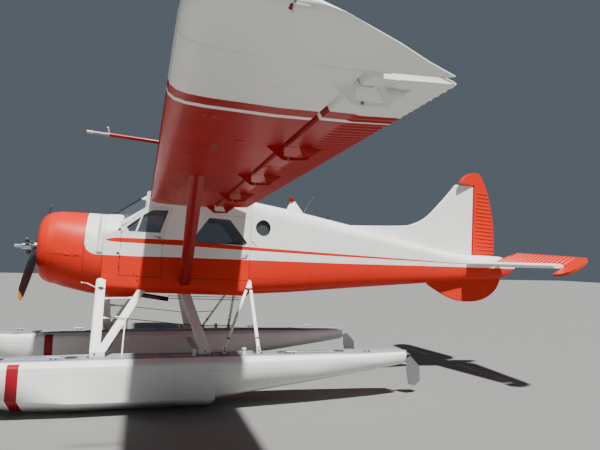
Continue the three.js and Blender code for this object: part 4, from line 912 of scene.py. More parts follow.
def buildDoorFittings():
    skinAt, lift, lever = doorFittings["skin"], doorFittings["lift"], doorFittings["lever"]
    rose, spindle, leaf = doorFittings["rose"], doorFittings["spindle"], doorFittings["leaf"]
    bolts, cable = doorFittings["bolts"], doorFittings["cable"]
    for sideName, side in sides.items():
        place = airframe @ across(side)
        for door, (x, z, lean) in doorFittings["handles"].items():
            bm = bmesh.new()
            addTube(bm, (x, skinAt, z), (x, skinAt + rose["thick"], z), rose["radius"], segments=20)
            addTube(bm, (x, skinAt + spindle["foot"], z), (x, lift, z), spindle["radius"], segments=12)
            dx, dz = math.cos(math.radians(lean)), math.sin(math.radians(lean))
            tip = (x + lever["length"] * dx, lift, z + lever["length"] * dz)
            addTube(bm, (x, lift - lever["drop"], z), tip, spindle["radius"], lever["tip"], 12)
            addBall(bm, tip, doorFittings["knob"], 10)
            finishPiece(f"{door}DoorHandle_{sideName}", bm, castAlloy, f"{door}_door_{sideName}",
                        place)
        bm = bmesh.new()
        for x, z in doorFittings["hinges"]:
            addBlock(bm, (x + leaf["x"][0], leaf["y"][0], z - leaf["half"]),
                     (x + leaf["x"][1], leaf["y"][1], z + leaf["half"]))
            (inner, outer), radius = bolts["y"], bolts["radius"]
            for ahead in bolts["x"]:
                addTube(bm, (x + ahead, inner, z), (x + ahead, outer, z), radius, segments=8)
        finishPiece(f"hingeLeaves_{sideName}", bm, forgedSteel, "airframe", place)
        bm = bmesh.new()
        addTube(bm, cable["from"], cable["to"], cable["radius"], segments=6)
        finishPiece(f"bondingCable_{sideName}", bm, tarredRope, "airframe", place)


buildGlazing()
buildHeader()
buildDoorFittings()


# Top of the fuselage: red beacon lamp, whip antenna on its insulator, and blade antenna
topTrim = {
    "lampAt": (-2.463, 0, 0.273),
    "lamp": [(0, 0), (0, 0.044), (0.066, 0.04224), (0.077, 0.0352), (0.082, 0.0176), (0.083, 0.0)],
    "whip": {"foot": (-2.673, 0, 0.05), "tip": (-2.882, 0, 0.415), "radii": (0.004, 0.002)},
    "insulator": [(-0.03, 0), (-0.03, 0.024), (0.004, 0.022), (0.03, 0.01), (0.034, 0)],
    # height, leading edge, thickest place, trailing edge, half thickness
    "blade": [(-0.04, -3.11, -3.14, -3.18, 0.007), (0.06, -3.155, -3.17, -3.185, 0.005),
              (0.11, -3.17, -3.175, -3.18, 0.002)],
}


def buildTopTrim():
    bm = bmesh.new()
    addTurned(bm, topTrim["lamp"], Matrix.Translation(topTrim["lampAt"]), 24)
    finishPiece("beaconLamp", bm, redLens, "airframe", sharp=60)
    bm = bmesh.new()
    whip = topTrim["whip"]
    addTurned(bm, topTrim["insulator"], Matrix.Translation(whip["foot"]), 16)
    addTube(bm, whip["foot"], whip["tip"], *whip["radii"], 8)
    finishPiece("whipAntenna", bm, milledAluminium, "airframe")
    bm = bmesh.new()
    addLoft(bm, [[(front, 0, z), (middle, half, z), (back, 0, z), (middle, -half, z)]
                 for z, front, middle, back, half in topTrim["blade"]])
    finishPiece("bladeAntenna", bm, moulding, "airframe", sharp=60)


buildTopTrim()
print("fuselage trim built")


# Cabin: padded seats and bench on tube frames, panel dials and control wheels
cushions = {
    "seatPan": ((-0.35, 0.07, -1.08), (0.08, 0.51, -0.965)),
    "seatBack": ((-0.44, 0.07, -0.955), (-0.35, 0.51, -0.425)),
    "benchPan": ((-1.405, -0.51, -1.05), (-0.97, 0.51, -0.945)),
    "benchBack": ((-1.52, -0.51, -0.94), (-1.43, 0.51, -0.475)),
}
padding = {"voxel": 0.009, "pressure": 4.0, "frames": 20, "cap": 0.022, "shrink": 0.012, "edge": 0.02,
           "fill": 0.6}


def makeCushion(name, low, high, place, replaces=()):
    bm = bmesh.new()
    shrink = Vector((padding["shrink"],) * 3)
    addBlock(bm, Vector(low) + shrink, Vector(high) - shrink)
    bmesh.ops.bevel(bm, geom=bm.edges[:], offset=padding["edge"], segments=3, profile=0.5, affect="EDGES",
                    material=-1)
    bmesh.ops.subdivide_edges(bm, edges=bm.edges[:], cuts=3, use_grid_fill=True)
    bmesh.ops.transform(bm, matrix=place, verts=bm.verts)
    bmesh.ops.recalc_face_normals(bm, faces=bm.faces)
    mesh = bpy.data.meshes.new(name)
    bm.to_mesh(mesh)
    bm.free()
    pad = bpy.data.objects.new(name, mesh)
    bpy.context.scene.collection.objects.link(pad)
    remesh = pad.modifiers.new("remesh", "REMESH")
    remesh.mode, remesh.voxel_size = "VOXEL", padding["voxel"]
    applyShape(pad)
    before = [v.co.copy() for v in pad.data.vertices]
    cloth = pad.modifiers.new("cloth", "CLOTH")
    cloth.settings.use_pressure = True
    cloth.settings.uniform_pressure_force = padding["pressure"]
    cloth.settings.effector_weights.gravity = 0.0
    for number in range(1, padding["frames"] + 1):
        bpy.context.scene.frame_set(number)
    applyShape(pad)
    bpy.context.scene.frame_set(1)
    for v, start in zip(pad.data.vertices, before):
        moved = v.co - start
        if moved.length > padding["cap"]:
            v.co = start + moved.normalized() * padding["cap"]
    pad.data.materials.clear()
    pad.data.materials.append(seatCloth)
    pad.data.polygons.foreach_set("use_smooth", [True] * len(pad.data.polygons))
    soft = pad.modifiers.new("softer", "SUBSURF")
    soft.levels = soft.render_levels = 1
    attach(pad, "airframe")
    if replaces:
        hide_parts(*replaces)
    return pad


def applyShape(pad):  # the modified shape becomes the mesh itself
    graph = bpy.context.evaluated_depsgraph_get()
    shaped = bpy.data.meshes.new_from_object(pad.evaluated_get(graph))
    pad.modifiers.clear()
    pad.data = shaped


seatFrame = {"tube": 0.012, "skid": 0.009, "legs": (-0.3, 0.03), "rails": (0.09, 0.49), "floor": -1.189,
             "level": -1.09, "back": -0.34, "front": 0.06, "skids": (-0.335, 0.05, -1.18),
             "top": (-0.447, -0.45)}
benchFrame = {"tube": 0.012, "legs": (-1.39, -1.0), "rails": (-0.48, 0, 0.48), "floor": -1.189,
              "level": -1.06, "back": -1.4, "front": -0.98, "top": (-1.525, -0.5), "half": 0.5}


def buildSeats():
    shape = seatFrame
    (x, z), tube, level = shape["top"], shape["tube"], shape["level"]
    for sideName, side in sides.items():
        place = airframe @ across(side)
        makeCushion(f"seatPan_{sideName}", *cushions["seatPan"], place, [f"seat_{sideName}"])
        makeCushion(f"seatBack_{sideName}", *cushions["seatBack"], place)
        bm = bmesh.new()
        for y in shape["rails"]:
            for leg in shape["legs"]:
                addTube(bm, (leg, y, shape["floor"]), (leg, y, level), tube, segments=10)
            addTube(bm, (shape["back"], y, level), (shape["front"], y, level), tube, segments=10)
            rear, front, low = shape["skids"]
            addTube(bm, (rear, y, low), (front, y, low), shape["skid"], segments=8)
            addTube(bm, (shape["back"], y, level), (x, y, z), tube, segments=10)
        near, far = shape["rails"]
        for end in (shape["back"], shape["front"]):
            addTube(bm, (end, near, level), (end, far, level), tube, segments=10)
        addTube(bm, (x, near, z), (x, far, z), tube, segments=10)
        finishPiece(f"seatFrame_{sideName}", bm, milledAluminium, "airframe", place)


def buildBench():
    makeCushion("benchPan", *cushions["benchPan"], airframe, ["cabin_bench"])
    makeCushion("benchBack", *cushions["benchBack"], airframe)
    shape = benchFrame
    (x, z), tube, level, half = shape["top"], shape["tube"], shape["level"], shape["half"]
    bm = bmesh.new()
    for y in shape["rails"]:
        for leg in shape["legs"]:
            addTube(bm, (leg, y, shape["floor"]), (leg, y, level + 0.005), tube, segments=10)
        addTube(bm, (shape["back"], y, level), (shape["front"], y, level), tube, segments=10)
        addTube(bm, (shape["back"], y, level), (x, y, z), tube, segments=10)
    for end, height in ((shape["back"], level), (shape["front"], level), (x, z)):
        addTube(bm, (end, -half, height), (end, half, height), tube, segments=10)
    finishPiece("benchFrame", bm, milledAluminium, "airframe")


def ringRows(middle, thick, steps):  # round section of a ring, as rows to be turned
    turns = [i / steps * math.tau for i in range(steps)]
    return [(thick * math.sin(turn), middle + thick * math.cos(turn)) for turn in turns]


# Rows of dials are (height, radius, places across the panel), and a mark's shares are of the radius.
# A needle's turn is its first angle and the step from dial to dial, in radians
dials = {"x": 0.329, "rows": [(-0.4, 0.038, (-0.34, -0.25, -0.16, 0.16, 0.25, 0.34)),
                              (-0.5, 0.034, (-0.4, -0.31, -0.22, -0.06, 0.06, 0.22, 0.31, 0.4)),
                              (-0.4, 0.026, (-0.06, 0.06))],
         "bezel": 0.006, "rim": {"deep": 0.008, "crown": 0.01, "edge": 0.003}, "face": 0.004, "ticks": 12,
         "tick": {"shares": (0.62, 0.78), "half": 0.0009, "z": (0.004, 0.005)},
         "needle": {"shares": (-0.15, 0.6), "half": 0.0015, "z": (0.005, 0.006)}, "turn": (0.6, 1.1)}
# A spoke's sizes are half its thickness, half its length and half its height
controlWheel = {"x": 0.205, "y": 0.25, "z": -0.62, "radius": 0.135, "grip": 0.011,
                "spoke": (0.005, 0.13, 0.01),
                "hub": [(-0.02, 0), (-0.02, 0.03), (0.015, 0.035), (0.02, 0)]}


def addMark(bm, mark, radius, place):  # tick or needle, along a radius of its dial
    (start, stop), half, (low, high) = mark["shares"], mark["half"], mark["z"]
    before = set(bm.verts)
    addBlock(bm, (start * radius, -half, low), (stop * radius, half, high))
    moveNew(bm, before, place)


def buildDials():
    rims, faces, needles = bmesh.new(), bmesh.new(), bmesh.new()
    shape, face, (first, step) = dials["rim"], dials["face"], dials["turn"]
    deep, crown = shape["deep"], shape["crown"]
    for z, radius, spots in dials["rows"]:
        inner = radius - dials["bezel"]
        for number, y in enumerate(spots):
            facing = Matrix.Translation((dials["x"], y, z)) @ Matrix.Rotation(math.radians(-90), 4, "Y")
            rim = [(0, radius), (deep, radius), (crown, radius - shape["edge"]), (deep, inner), (0, inner)]
            addTurned(rims, rim, facing, 20, closed=True)
            addTurned(faces, [(0, 0), (0, inner), (face, inner), (face, 0)], facing, 20)
            for tick in range(dials["ticks"]):
                turn = Matrix.Rotation(tick / dials["ticks"] * math.tau, 4, "Z")
                addMark(needles, dials["tick"], radius, facing @ turn)
            turn = Matrix.Rotation(step * number + first, 4, "Z")
            addMark(needles, dials["needle"], radius, facing @ turn)
    finishPiece("dialRims", rims, milledAluminium, "airframe")
    finishPiece("dialFaces", faces, moulding, "airframe")
    finishPiece("dialNeedles", needles, whiteEnamel, "airframe")


def buildControlWheels():
    bm = bmesh.new()
    wheel, (half, reach, tall) = controlWheel, controlWheel["spoke"]
    for y in (-wheel["y"], wheel["y"]):
        facing = Matrix.Translation((wheel["x"], y, wheel["z"])) @ alongX
        addTurned(bm, ringRows(wheel["radius"], wheel["grip"], 8), facing, 32, closed=True)
        addBlock(bm, (wheel["x"] - half, y - reach, wheel["z"] - tall),
                 (wheel["x"] + half, y + reach, wheel["z"] + tall))
        addTurned(bm, wheel["hub"], facing, 16)
    finishPiece("controlWheels", bm, moulding, "airframe")


buildSeats()
buildBench()
buildDials()
buildControlWheels()
print("cabin fitted")


# Wings: corrugated flaps and ailerons, inspection covers, tie-down rings, navigation lamps, bracket bolts
# and pitot head, in the wing's own axes. Rows of top, under and lower are (x, z), and covers are (x, y)
wings = {
    "pitch": 0.078, "stations": (-1.2, -1.24, -1.36, -1.536),
    "bead": {"half": 0.026, "rise": 0.011, "least": 0.0005, "sunk": 0.002, "shoulder": (0.5, 0.8)},
    "top": [(-1.545, 0.054), (-1.36, 0.107), (-1.19, 0.152)],
    "under": [(-1.545, 0.044), (-1.36, 0.032), (-1.19, 0.02)],
    "spans": {"flap": (0.7, 4.16), "aileron": (4.24, 6.77)},
    "covers": [(-0.3, 1.0), (-0.3, 1.7), (-0.3, 2.4), (-0.62, 2.75), (-0.3, 4.45), (-0.62, 5.15),
               (-0.3, 5.75), (-0.62, 6.5)],
    "cover": [(0.002, 0), (0.002, 0.05), (-0.0015, 0.05), (-0.003, 0.047), (-0.003, 0)],
    "coverScrew": {"z": (-0.0025, -0.005), "radius": 0.006},
    "lower": [(-1.11, 0.014), (-0.95, 0.004), (-0.7, -0.004), (-0.25, 0), (-0.12, 0.008), (-0.05, 0.025)],
    "rings": {"x": -0.44, "y": (3.05, 4.95), "z": -0.024, "radius": 0.022, "thick": 0.004},
    "ringSeat": {"z": (0.002, -0.006), "radius": 0.016},
    "lamp": (-0.468, 7.281, 0.072),
    "lampHousing": [(-0.15, 0), (-0.14, 0.006), (-0.1, 0.02), (-0.05, 0.031), (0.0, 0.033), (0.012, 0.033),
                    (0.012, 0)],
    "lampRim": [(0.006, 0.027), (0.006, 0.035), (0.018, 0.035), (0.018, 0.027)],
    "lampLens": [(0.01, 0), (0.01, 0.028), (0.03, 0.027), (0.046, 0.021), (0.056, 0.011), (0.059, 0)],
    "brackets": (0.76, 2.26, 3.71, 5.08, 6.64), "boltsAt": [(-1.19, -0.06), (-1.04, -0.085)],
    "bolt": {"radius": 0.011, "y": (-0.003, 0.015)},
}
# The pitot's boom climbs ahead of the wing, and its tubes are (from x, to x, radius, end radius, segments)
pitot = {
    "y": 4.5, "base": 0.072, "rise": 0.045, "nose": (0.545, 0.59, 0.0135, 0.0135, 16), "tip": 0.588,
    "tubes": [(0.41, 0.44, 0.019, 0.014, 16), (0.43, 0.56, 0.0125, 0.0125, 14)],
    "mast": {"foot": (0.41, 0.0905), "top": (0.4265, 0.1515), "radius": 0.0078}, "cap": (0.4275, 0.009),
}


def addBead(bm, y, table, out):  # half-round ridge along the chord, tapered to nothing at its front
    bead, rings = wings["bead"], []
    half, (near, share) = bead["half"], bead["shoulder"]
    for number, x in enumerate(wings["stations"]):
        z, high = heightAt(table, x), bead["rise"] if number else 0.0
        foot, shoulder = z - out * bead["sunk"], z + out * high * share
        rings.append([(x, y - half, foot), (x, y - half * near, shoulder),
                      (x, y, z + out * (high + bead["least"])), (x, y + half * near, shoulder),
                      (x, y + half, foot)])
    addLoft(bm, rings)


def buildWingTrim():
    for sideName, side in sides.items():
        place = wingFrame(side)
        for kind, (start, stop) in wings["spans"].items():
            bm = bmesh.new()
            count = int((stop - start) / wings["pitch"])
            for i in range(count + 1):
                y = start + i * (stop - start) / count
                addBead(bm, y, wings["top"], 1)
                addBead(bm, y, wings["under"], -1)
            finishPiece(f"{kind}Corrugation_{sideName}", bm, wingEnamel, f"{kind}_{sideName}",
                        place)
        bm = bmesh.new()
        screw, (start, stop) = wings["coverScrew"], wings["coverScrew"]["z"]
        for x, y in wings["covers"]:
            z = heightAt(wings["lower"], x)
            addTurned(bm, wings["cover"], Matrix.Translation((x, y, z)), 24)
            addTube(bm, (x, y, z + start), (x, y, z + stop), screw["radius"], segments=8)
        finishPiece(f"inspectionCovers_{sideName}", bm, wingEnamel, "airframe", place)
        bm = bmesh.new()
        ring, seat, (start, stop) = wings["rings"], wings["ringSeat"], wings["ringSeat"]["z"]
        for y in ring["y"]:
            spot = Matrix.Translation((ring["x"], y, ring["z"])) @ alongMinusY
            addTurned(bm, ringRows(ring["radius"], ring["thick"], 6), spot, 16, closed=True)
            addTube(bm, (ring["x"], y, start), (ring["x"], y, stop), seat["radius"], segments=12)
        finishPiece(f"tieDownRings_{sideName}", bm, forgedSteel, "airframe", place)
        forward = Matrix.Translation(wings["lamp"]) @ alongX
        lens = redLens if side > 0 else greenLens
        for name, rows, closed, material, slot, sharp in (
                ("tipLampHousing", wings["lampHousing"], False, whiteEnamel, "hull_white", 60),
                ("tipLampRim", wings["lampRim"], True, polishedSteel, "steel", 35),
                ("tipLamp", wings["lampLens"], False, lens, "glass", 60)):
            bm = bmesh.new()
            addTurned(bm, rows, forward, closed=closed)
            finishPiece(f"{name}_{sideName}", bm, material, "airframe", place, sharp)
        bm = bmesh.new()
        start, stop = wings["bolt"]["y"]
        for y in wings["brackets"]:
            for x, z in wings["boltsAt"]:
                addTube(bm, (x, y + start, z), (x, y + stop, z), wings["bolt"]["radius"], segments=12)
        finishPiece(f"bracketBolts_{sideName}", bm, forgedSteel, "airframe", place)


def buildPitot():
    y, place = pitot["y"], wingFrame(sides["left"])

    def onBoom(x):
        return x, y, pitot["base"] + x * pitot["rise"]

    bm = bmesh.new()
    for start, stop, *size in pitot["tubes"]:
        addTube(bm, onBoom(start), onBoom(stop), *size)
    mast = pitot["mast"]
    (x0, z0), (x1, z1) = mast["foot"], mast["top"]
    addTube(bm, (x0, y, z0), (x1, y, z1), mast["radius"], segments=10)
    finishPiece("pitotHead", bm, castAlloy, "airframe", place)
    bm = bmesh.new()
    start, stop, *size = pitot["nose"]
    addTube(bm, onBoom(start), onBoom(stop), *size)
    addBall(bm, onBoom(pitot["tip"]), size[:1] * 3, 14)
    x, radius = pitot["cap"]
    addBall(bm, (x, y, z1), (radius,) * 3, 10)
    finishPiece("pitotNose", bm, ceramic, "airframe", place, 60)


buildWingTrim()
buildPitot()
print("wings trimmed")


# Tail: fin, sea fin and rudder with rounded outlines, corrugated rudder and elevator, and the tail lamp.
# Plates are a curve and corners in (x, z), and the rudder's and the elevator's are from their own hinge
tail = {
    "fin": {"half": 0.03, "curve": [(-3.585, -0.077), (-4.626, -0.015), (-4.932, 0.053), (-5.188, 0.197),
                                    (-5.444, 0.457), (-5.652, 0.69), (-5.8, 0.868), (-5.84, 0.884)],
            "corners": [(-6.205, 0.884), (-6.205, -0.525), (-5.6, -0.5), (-4.73, -0.355), (-3.585, -0.14)]},
    "seaFin": {"half": 0.022, "curve": [(-5.24, -1.04), (-5.27, -1.113), (-5.552, -1.267), (-5.75, -1.35),
                                        (-5.96, -1.402), (-6.287, -1.402), (-6.56, -1.325), (-6.783, -1.154),
                                        (-6.89, -0.93)],
               "corners": [(-6.5, -0.9), (-5.5, -0.98)]},
    "blade": {"half": 0.03,
              "curve": [(0.44, 0.898), (0.395, 0.97), (0.284, 1.063), (0.14, 1.128), (0, 1.157),
                        (-0.09, 1.149), (-0.163, 1.118), (-0.357, 0.861), (-0.483, 0.574),
                        (-0.589, 0.234), (-0.638, -0.107), (-0.655, -0.401), (-0.65, -0.465)],
              "corners": [(0, -0.465), (0.028, -0.44), (0.028, 0.898)]},
    "rudder": {"hinge": -6.245, "turn": 17.0, "low": -0.44, "high": 0.76, "ribs": 17, "half": 0.03,
               "edge": [(-0.465, 0.655), (-0.401, 0.655), (-0.107, 0.638), (0.234, 0.589), (0.574, 0.483),
                        (0.861, 0.357)], "thin": 0.66, "chord": 0.655, "margin": 0.014, "rootShare": 0.97,
               "foot": {"low": -0.4908, "high": -0.46, "radius": 0.016}},
    "elevator": {"hinge": -6.6, "z": -0.665, "turn": 30.0, "low": 0.3, "high": 2.02, "ribs": 16,
                 "half": 0.02, "edge": [(0.178, 0.25), (0.4, 0.48), (2.29, 0.275)], "margin": 0.012},
    "rib": {"start": -0.03, "half": 0.014, "rudderRise": 0.012, "elevatorRise": 0.01, "fade": 0.02,
            "ends": 0.05, "sunk": 0.002, "shoulder": (0.6, 0.7)},
    "lamp": (-7.2, 0, -0.66), "lampRim": [(-0.02, 0.014), (-0.02, 0.022), (0.004, 0.022), (0.004, 0.014)],
    "lampLens": [(0.0, 0), (0.0, 0.018), (0.012, 0.016), (0.022, 0.009), (0.025, 0)],
}


def addRib(bm, start, end, out, rise):  # low rounded ridge on a flat skin, fading out at both ends
    rib, ends, (near, share) = tail["rib"], tail["rib"]["ends"], tail["rib"]["shoulder"]
    start, end, out = Vector(start), Vector(end), Vector(out)
    inward = (end - start).normalized()
    wide, fade = inward.cross(out) * rib["half"], inward * rib["fade"]
    rings = []
    for spot, height in ((start, ends), (start + fade, 1.0), (end - fade, 1.0), (end, ends)):
        crown, shoulder = out * rise * height, out * rise * height * share
        foot = spot - out * rib["sunk"]
        rings.append([foot - wide, spot - wide * near + shoulder, spot + crown,
                      spot + wide * near + shoulder, foot + wide])
    addLoft(bm, rings)


def smoothRun(points, steps=5):  # rounded line through the points, with steps between each two
    run = [points[0]]
    for i in range(len(points) - 1):
        a, b, c, d = (Vector(points[min(max(i + k, 0), len(points) - 1)]) for k in (-1, 0, 1, 2))
        for step in range(1, steps + 1):
            t = step / steps
            spot = 0.5 * (2 * b + (c - a) * t + (2 * a - 5 * b + 4 * c - d) * t * t
                          + (3 * b - a - 3 * c + d) * t * t * t)
            run.append(tuple(spot))
    return run


def addPlate(bm, shape):  # flat plate on the centre line, round along its curve
    outline = smoothRun(shape["curve"]) + shape["corners"]
    addSlab(bm, onSide(outline, -shape["half"]), (0, 2 * shape["half"], 0))


def buildFins():
    for name, shape, node, material in (("finPlate", "fin", "fin", whiteEnamel),
                                        ("seaFinPlate", "seaFin", "sea_fin", orangeEnamel)):
        bm = bmesh.new()
        addPlate(bm, tail[shape])
        finishPiece(name, bm, material, "airframe", bevel=0.012, replaces=[node])


def buildRudder():  # thinner towards its trailing edge, on a foot tube
    rudder, rib, foot = tail["rudder"], tail["rib"], tail["rudder"]["foot"]
    turned = (airframe @ Matrix.Translation((rudder["hinge"], 0, 0))
              @ Matrix.Rotation(math.radians(rudder["turn"]), 4, "Z"))
    bm = bmesh.new()
    addPlate(bm, tail["blade"])
    bmesh.ops.bisect_plane(bm, geom=bm.verts[:] + bm.edges[:] + bm.faces[:], plane_co=(0, 0, 0),
                           plane_no=(1, 0, 0))
    for v in bm.verts:
        v.co.y *= 1 - rudder["thin"] * max(-v.co.x, 0) / rudder["chord"]
    addTube(bm, (0, 0, foot["low"]), (0, 0, foot["high"]), foot["radius"], segments=16)
    finishPiece("rudderBlade", bm, orangeEnamel, "rudder", turned, bevel=0.006,
                replaces=["rudder"])
    bm = bmesh.new()
    for i in range(rudder["ribs"]):
        z = rudder["low"] + i / (rudder["ribs"] - 1) * (rudder["high"] - rudder["low"])
        back = heightAt(rudder["edge"], z) - rudder["margin"]
        thin = rudder["half"] * (1 - rudder["thin"] * back / rudder["chord"])
        for way in (1, -1):
            root = way * rudder["half"] * rudder["rootShare"]
            addRib(bm, (rib["start"], root, z), (-back, way * thin, z), (0, way, 0), rib["rudderRise"])
    finishPiece("rudderCorrugation", bm, orangeEnamel, "rudder", turned)


def buildElevator():
    elevator, rib = tail["elevator"], tail["rib"]
    bm = bmesh.new()
    for i in range(elevator["ribs"]):
        y = elevator["low"] + i / (elevator["ribs"] - 1) * (elevator["high"] - elevator["low"])
        back = heightAt(elevator["edge"], y) - elevator["margin"]
        for side in (1, -1):
            for way in (1, -1):
                z = way * elevator["half"]
                addRib(bm, (rib["start"], side * y, z), (-back, side * y, z), (0, 0, way),
                       rib["elevatorRise"])
    turned = (airframe @ Matrix.Translation((elevator["hinge"], 0, elevator["z"]))
              @ Matrix.Rotation(math.radians(elevator["turn"]), 4, "Y"))
    finishPiece("elevatorCorrugation", bm, orangeEnamel, "elevator", turned)


def buildTailLamp():
    backward = Matrix.Translation(tail["lamp"]) @ Matrix.Rotation(math.radians(-90), 4, "Y")
    bm = bmesh.new()
    addTurned(bm, tail["lampLens"], backward)
    finishPiece("tailLamp", bm, clearLens, "airframe", sharp=60)
    bm = bmesh.new()
    addTurned(bm, tail["lampRim"], backward, closed=True)
    finishPiece("tailLampRim", bm, polishedSteel, "airframe")


buildFins()
buildRudder()
buildElevator()
buildTailLamp()
print("tail trimmed")


# Floats: cleats, hatch covers, non-slip strips and water rudder cables, in the floats' level axes.
# Strips are (front, rear) and (across), and a cable's points are (x, further out, z)
floats = {
    "deck": 0.715, "cleats": (2.15, 1.15, -0.3, -2.1, -3.3),
    "cleat": {"out": 0.15, "posts": 0.03, "horns": 0.08, "high": 0.035, "radius": 0.009, "sunk": 0.002,
              "over": 0.001},
    "hatches": (1.85, 0.95, -0.15, -2.0, -2.9),
    "hatch": [(-0.001, 0), (-0.001, 0.085), (0.006, 0.085), (0.009, 0.078), (0.006, 0.07), (0.004, 0.0)],
    "strips": [(2.2, 0.8), (0.45, -0.7), (-1.0, -3.2)], "lanes": (-0.17, -0.11, 0.11), "laneHalf": 0.018,
    "laneZ": (-0.001, 0.002),
    "cable": [(-4.0, 0, 0.69), (-1.75, 0, 0.735), (-0.95, 0.02, 0.77)], "cablesAt": (-0.07, 0.07),
    "cableRadius": 0.003,
}


def buildFloatTrim():
    deck, centre, cleat = floats["deck"], stance["floatCentre"], floats["cleat"]
    for sideName, side in sides.items():
        place = floatFrame @ across(side)
        bm = bmesh.new()
        y, top, radius = centre + cleat["out"], deck + cleat["high"], cleat["radius"]
        for x in floats["cleats"]:
            for post in (-cleat["posts"], cleat["posts"]):
                addTube(bm, (x + post, y, deck - cleat["sunk"]), (x + post, y, top), radius, segments=10)
            bar = top + cleat["over"]
            addTube(bm, (x - cleat["horns"], y, bar), (x + cleat["horns"], y, bar), radius, segments=10)
        finishPiece(f"deckCleats_{sideName}", bm, forgedSteel, "airframe", place)
        bm = bmesh.new()
        for x in floats["hatches"]:
            addTurned(bm, floats["hatch"], Matrix.Translation((x, centre, deck)), 28)
        finishPiece(f"deckHatches_{sideName}", bm, milledAluminium, "airframe", place)
        bm = bmesh.new()
        half, (low, high) = floats["laneHalf"], floats["laneZ"]
        for front, rear in floats["strips"]:
            for lane in floats["lanes"]:
                y = centre + lane
                addBlock(bm, (rear, y - half, deck + low), (front, y + half, deck + high))
        finishPiece(f"nonSlipStrips_{sideName}", bm, nonSlipRubber, "airframe", place)
        bm = bmesh.new()
        for lane in floats["cablesAt"]:
            spots = [(x, centre + lane + out, z) for x, out, z in floats["cable"]]
            for start, end in zip(spots, spots[1:]):
                addTube(bm, start, end, floats["cableRadius"], segments=6)
        finishPiece(f"rudderCables_{sideName}", bm, forgedSteel, "airframe", place)


buildFloatTrim()


# Struts: shackles, brace rods, rung and vee collars, foot plates, bollards and hand lines, in the floats'
# level axes. Tops are in the airframe's axes, and feet stand on the deck at the leg's distance out
rigging = {
    "leg": 1.43, "foot": 0.79, "frontTop": (0.632, 0.61, -1.24), "frontFoot": 0.655,
    "slantTop": (0.037, 0.572, -1.372), "slantFoot": 0.578, "rearTop": (-0.65, 0.47, -1.41),
    "rearFoot": -0.835, "veeTop": (-1.658, 0.61, -1.16), "veeFeet": (-1.121, -1.625),
    "rungs": (1.21, 1.47), "plates": {"front": 0.07, "rear": 0.09, "vee": 0.04},
    "bollards": {"x": (-0.68, -1.39), "out": 0.09, "sunk": 0.003},
    "bollard": [(0, 0), (0, 0.03), (0.07, 0.026), (0.08, 0.034), (0.095, 0.034), (0.105, 0.024), (0.108, 0)],
    "lineShares": {"front": 0.52, "rear": 0.6, "vee": 0.68}, "lineRadius": 0.006,
    "underLine": [(-0.42, 0.3, -1.5), (-1.66, 0.3, -1.49)],
}
# "at" is a share of the way down a strut, and ends and corners are measured from that spot
shackle = {"at": 0.13, "pin": [(-0.066, 0.005, 0), (0.066, 0.005, 0)], "pinRadius": 0.009,
           "cheek": [(-0.045, 0.022, -0.035), (0.03, 0.032, 0.035)],
           "nut": [(-0.01, 0.02, 0), (-0.01, 0.05, 0)], "nutRadius": 0.013}
ballRod = {"at": 0.12, "base": (0.06, 0.01, 0.01), "neck": (0.13, 0.02, 0.065), "ball": (0.2, 0.03, 0.075),
           "ballRadius": 0.013, "radius": 0.007, "neckRadius": 0.004}
deckRod = {"at": 0.41, "foot": 0.3, "radius": 0.01}
rungCollar = {"offset": 0.075, "reach": 1.45, "radii": (0.02, 0.015)}
veeFittings = {"collars": [(0.125, 0.145, 0.027), (0.86, 0.87, 0.026)],
               "pin": {"at": 0.99, "half": (0, 0.03, 0), "radius": 0.011}}
footPlate = {"margin": 0.03, "half": 0.05, "z": (-0.002, 0.008),
             "bolt": {"x": 0.015, "y": 0.035, "z": (0.006, 0.016), "radius": 0.009},
             "pin": {"half": 0.036, "z": 0.765, "radius": 0.014}}


def between(start, end, share):
    return Vector(start).lerp(Vector(end), share)


def onDeck(x):  # foot of a strut
    return Vector((x, rigging["leg"], rigging["foot"]))


struts = {
    "front": (onFloats(*rigging["frontTop"]), onDeck(rigging["frontFoot"])),
    "slant": (onFloats(*rigging["slantTop"]), onDeck(rigging["slantFoot"])),
    "rear": (onFloats(*rigging["rearTop"]), onDeck(rigging["rearFoot"])),
    "vee": (onFloats(*rigging["veeTop"]), onDeck(rigging["veeFeet"][0])),
    "veeRear": (onFloats(*rigging["veeTop"]), onDeck(rigging["veeFeet"][1])),
}


def addShackle(bm):  # pin, cheek plate and nut high on the front strut
    spot = between(*struts["front"], shackle["at"])
    pin, cheek, nut = ([spot + Vector(end) for end in shackle[key]] for key in ("pin", "cheek", "nut"))
    addTube(bm, *pin, shackle["pinRadius"], segments=10)
    addBlock(bm, *cheek)
    addTube(bm, *nut, shackle["nutRadius"], segments=6)


def addBraceRods(bm):  # short rod with a ball end at the strut's top, and a long one down to the deck
    base = between(*struts["front"], ballRod["at"]) + Vector(ballRod["base"])
    neck, ball = base + Vector(ballRod["neck"]), base + Vector(ballRod["ball"])
    addTube(bm, base, neck, ballRod["radius"], segments=8)
    addBall(bm, ball, (ballRod["ballRadius"],) * 3, 10)
    addTube(bm, neck, ball, ballRod["neckRadius"], segments=6)
    deckEnd = Vector((deckRod["foot"], rigging["leg"], floats["deck"]))
    addTube(bm, between(*struts["slant"], deckRod["at"]), deckEnd, deckRod["radius"], segments=10)


def addRungCollars(bm):
    near, reach = rungCollar["offset"], rungCollar["reach"]
    for z in rigging["rungs"]:
        for strut, offset in (("front", -near), ("slant", near)):
            top, foot = struts[strut]
            spot = between(top, foot, (z - top.z) / (foot.z - top.z))
            inner, outer = spot + Vector((offset, 0, 0)), spot + Vector((offset * reach, 0, 0))
            addTube(bm, inner, outer, *rungCollar["radii"], 14)


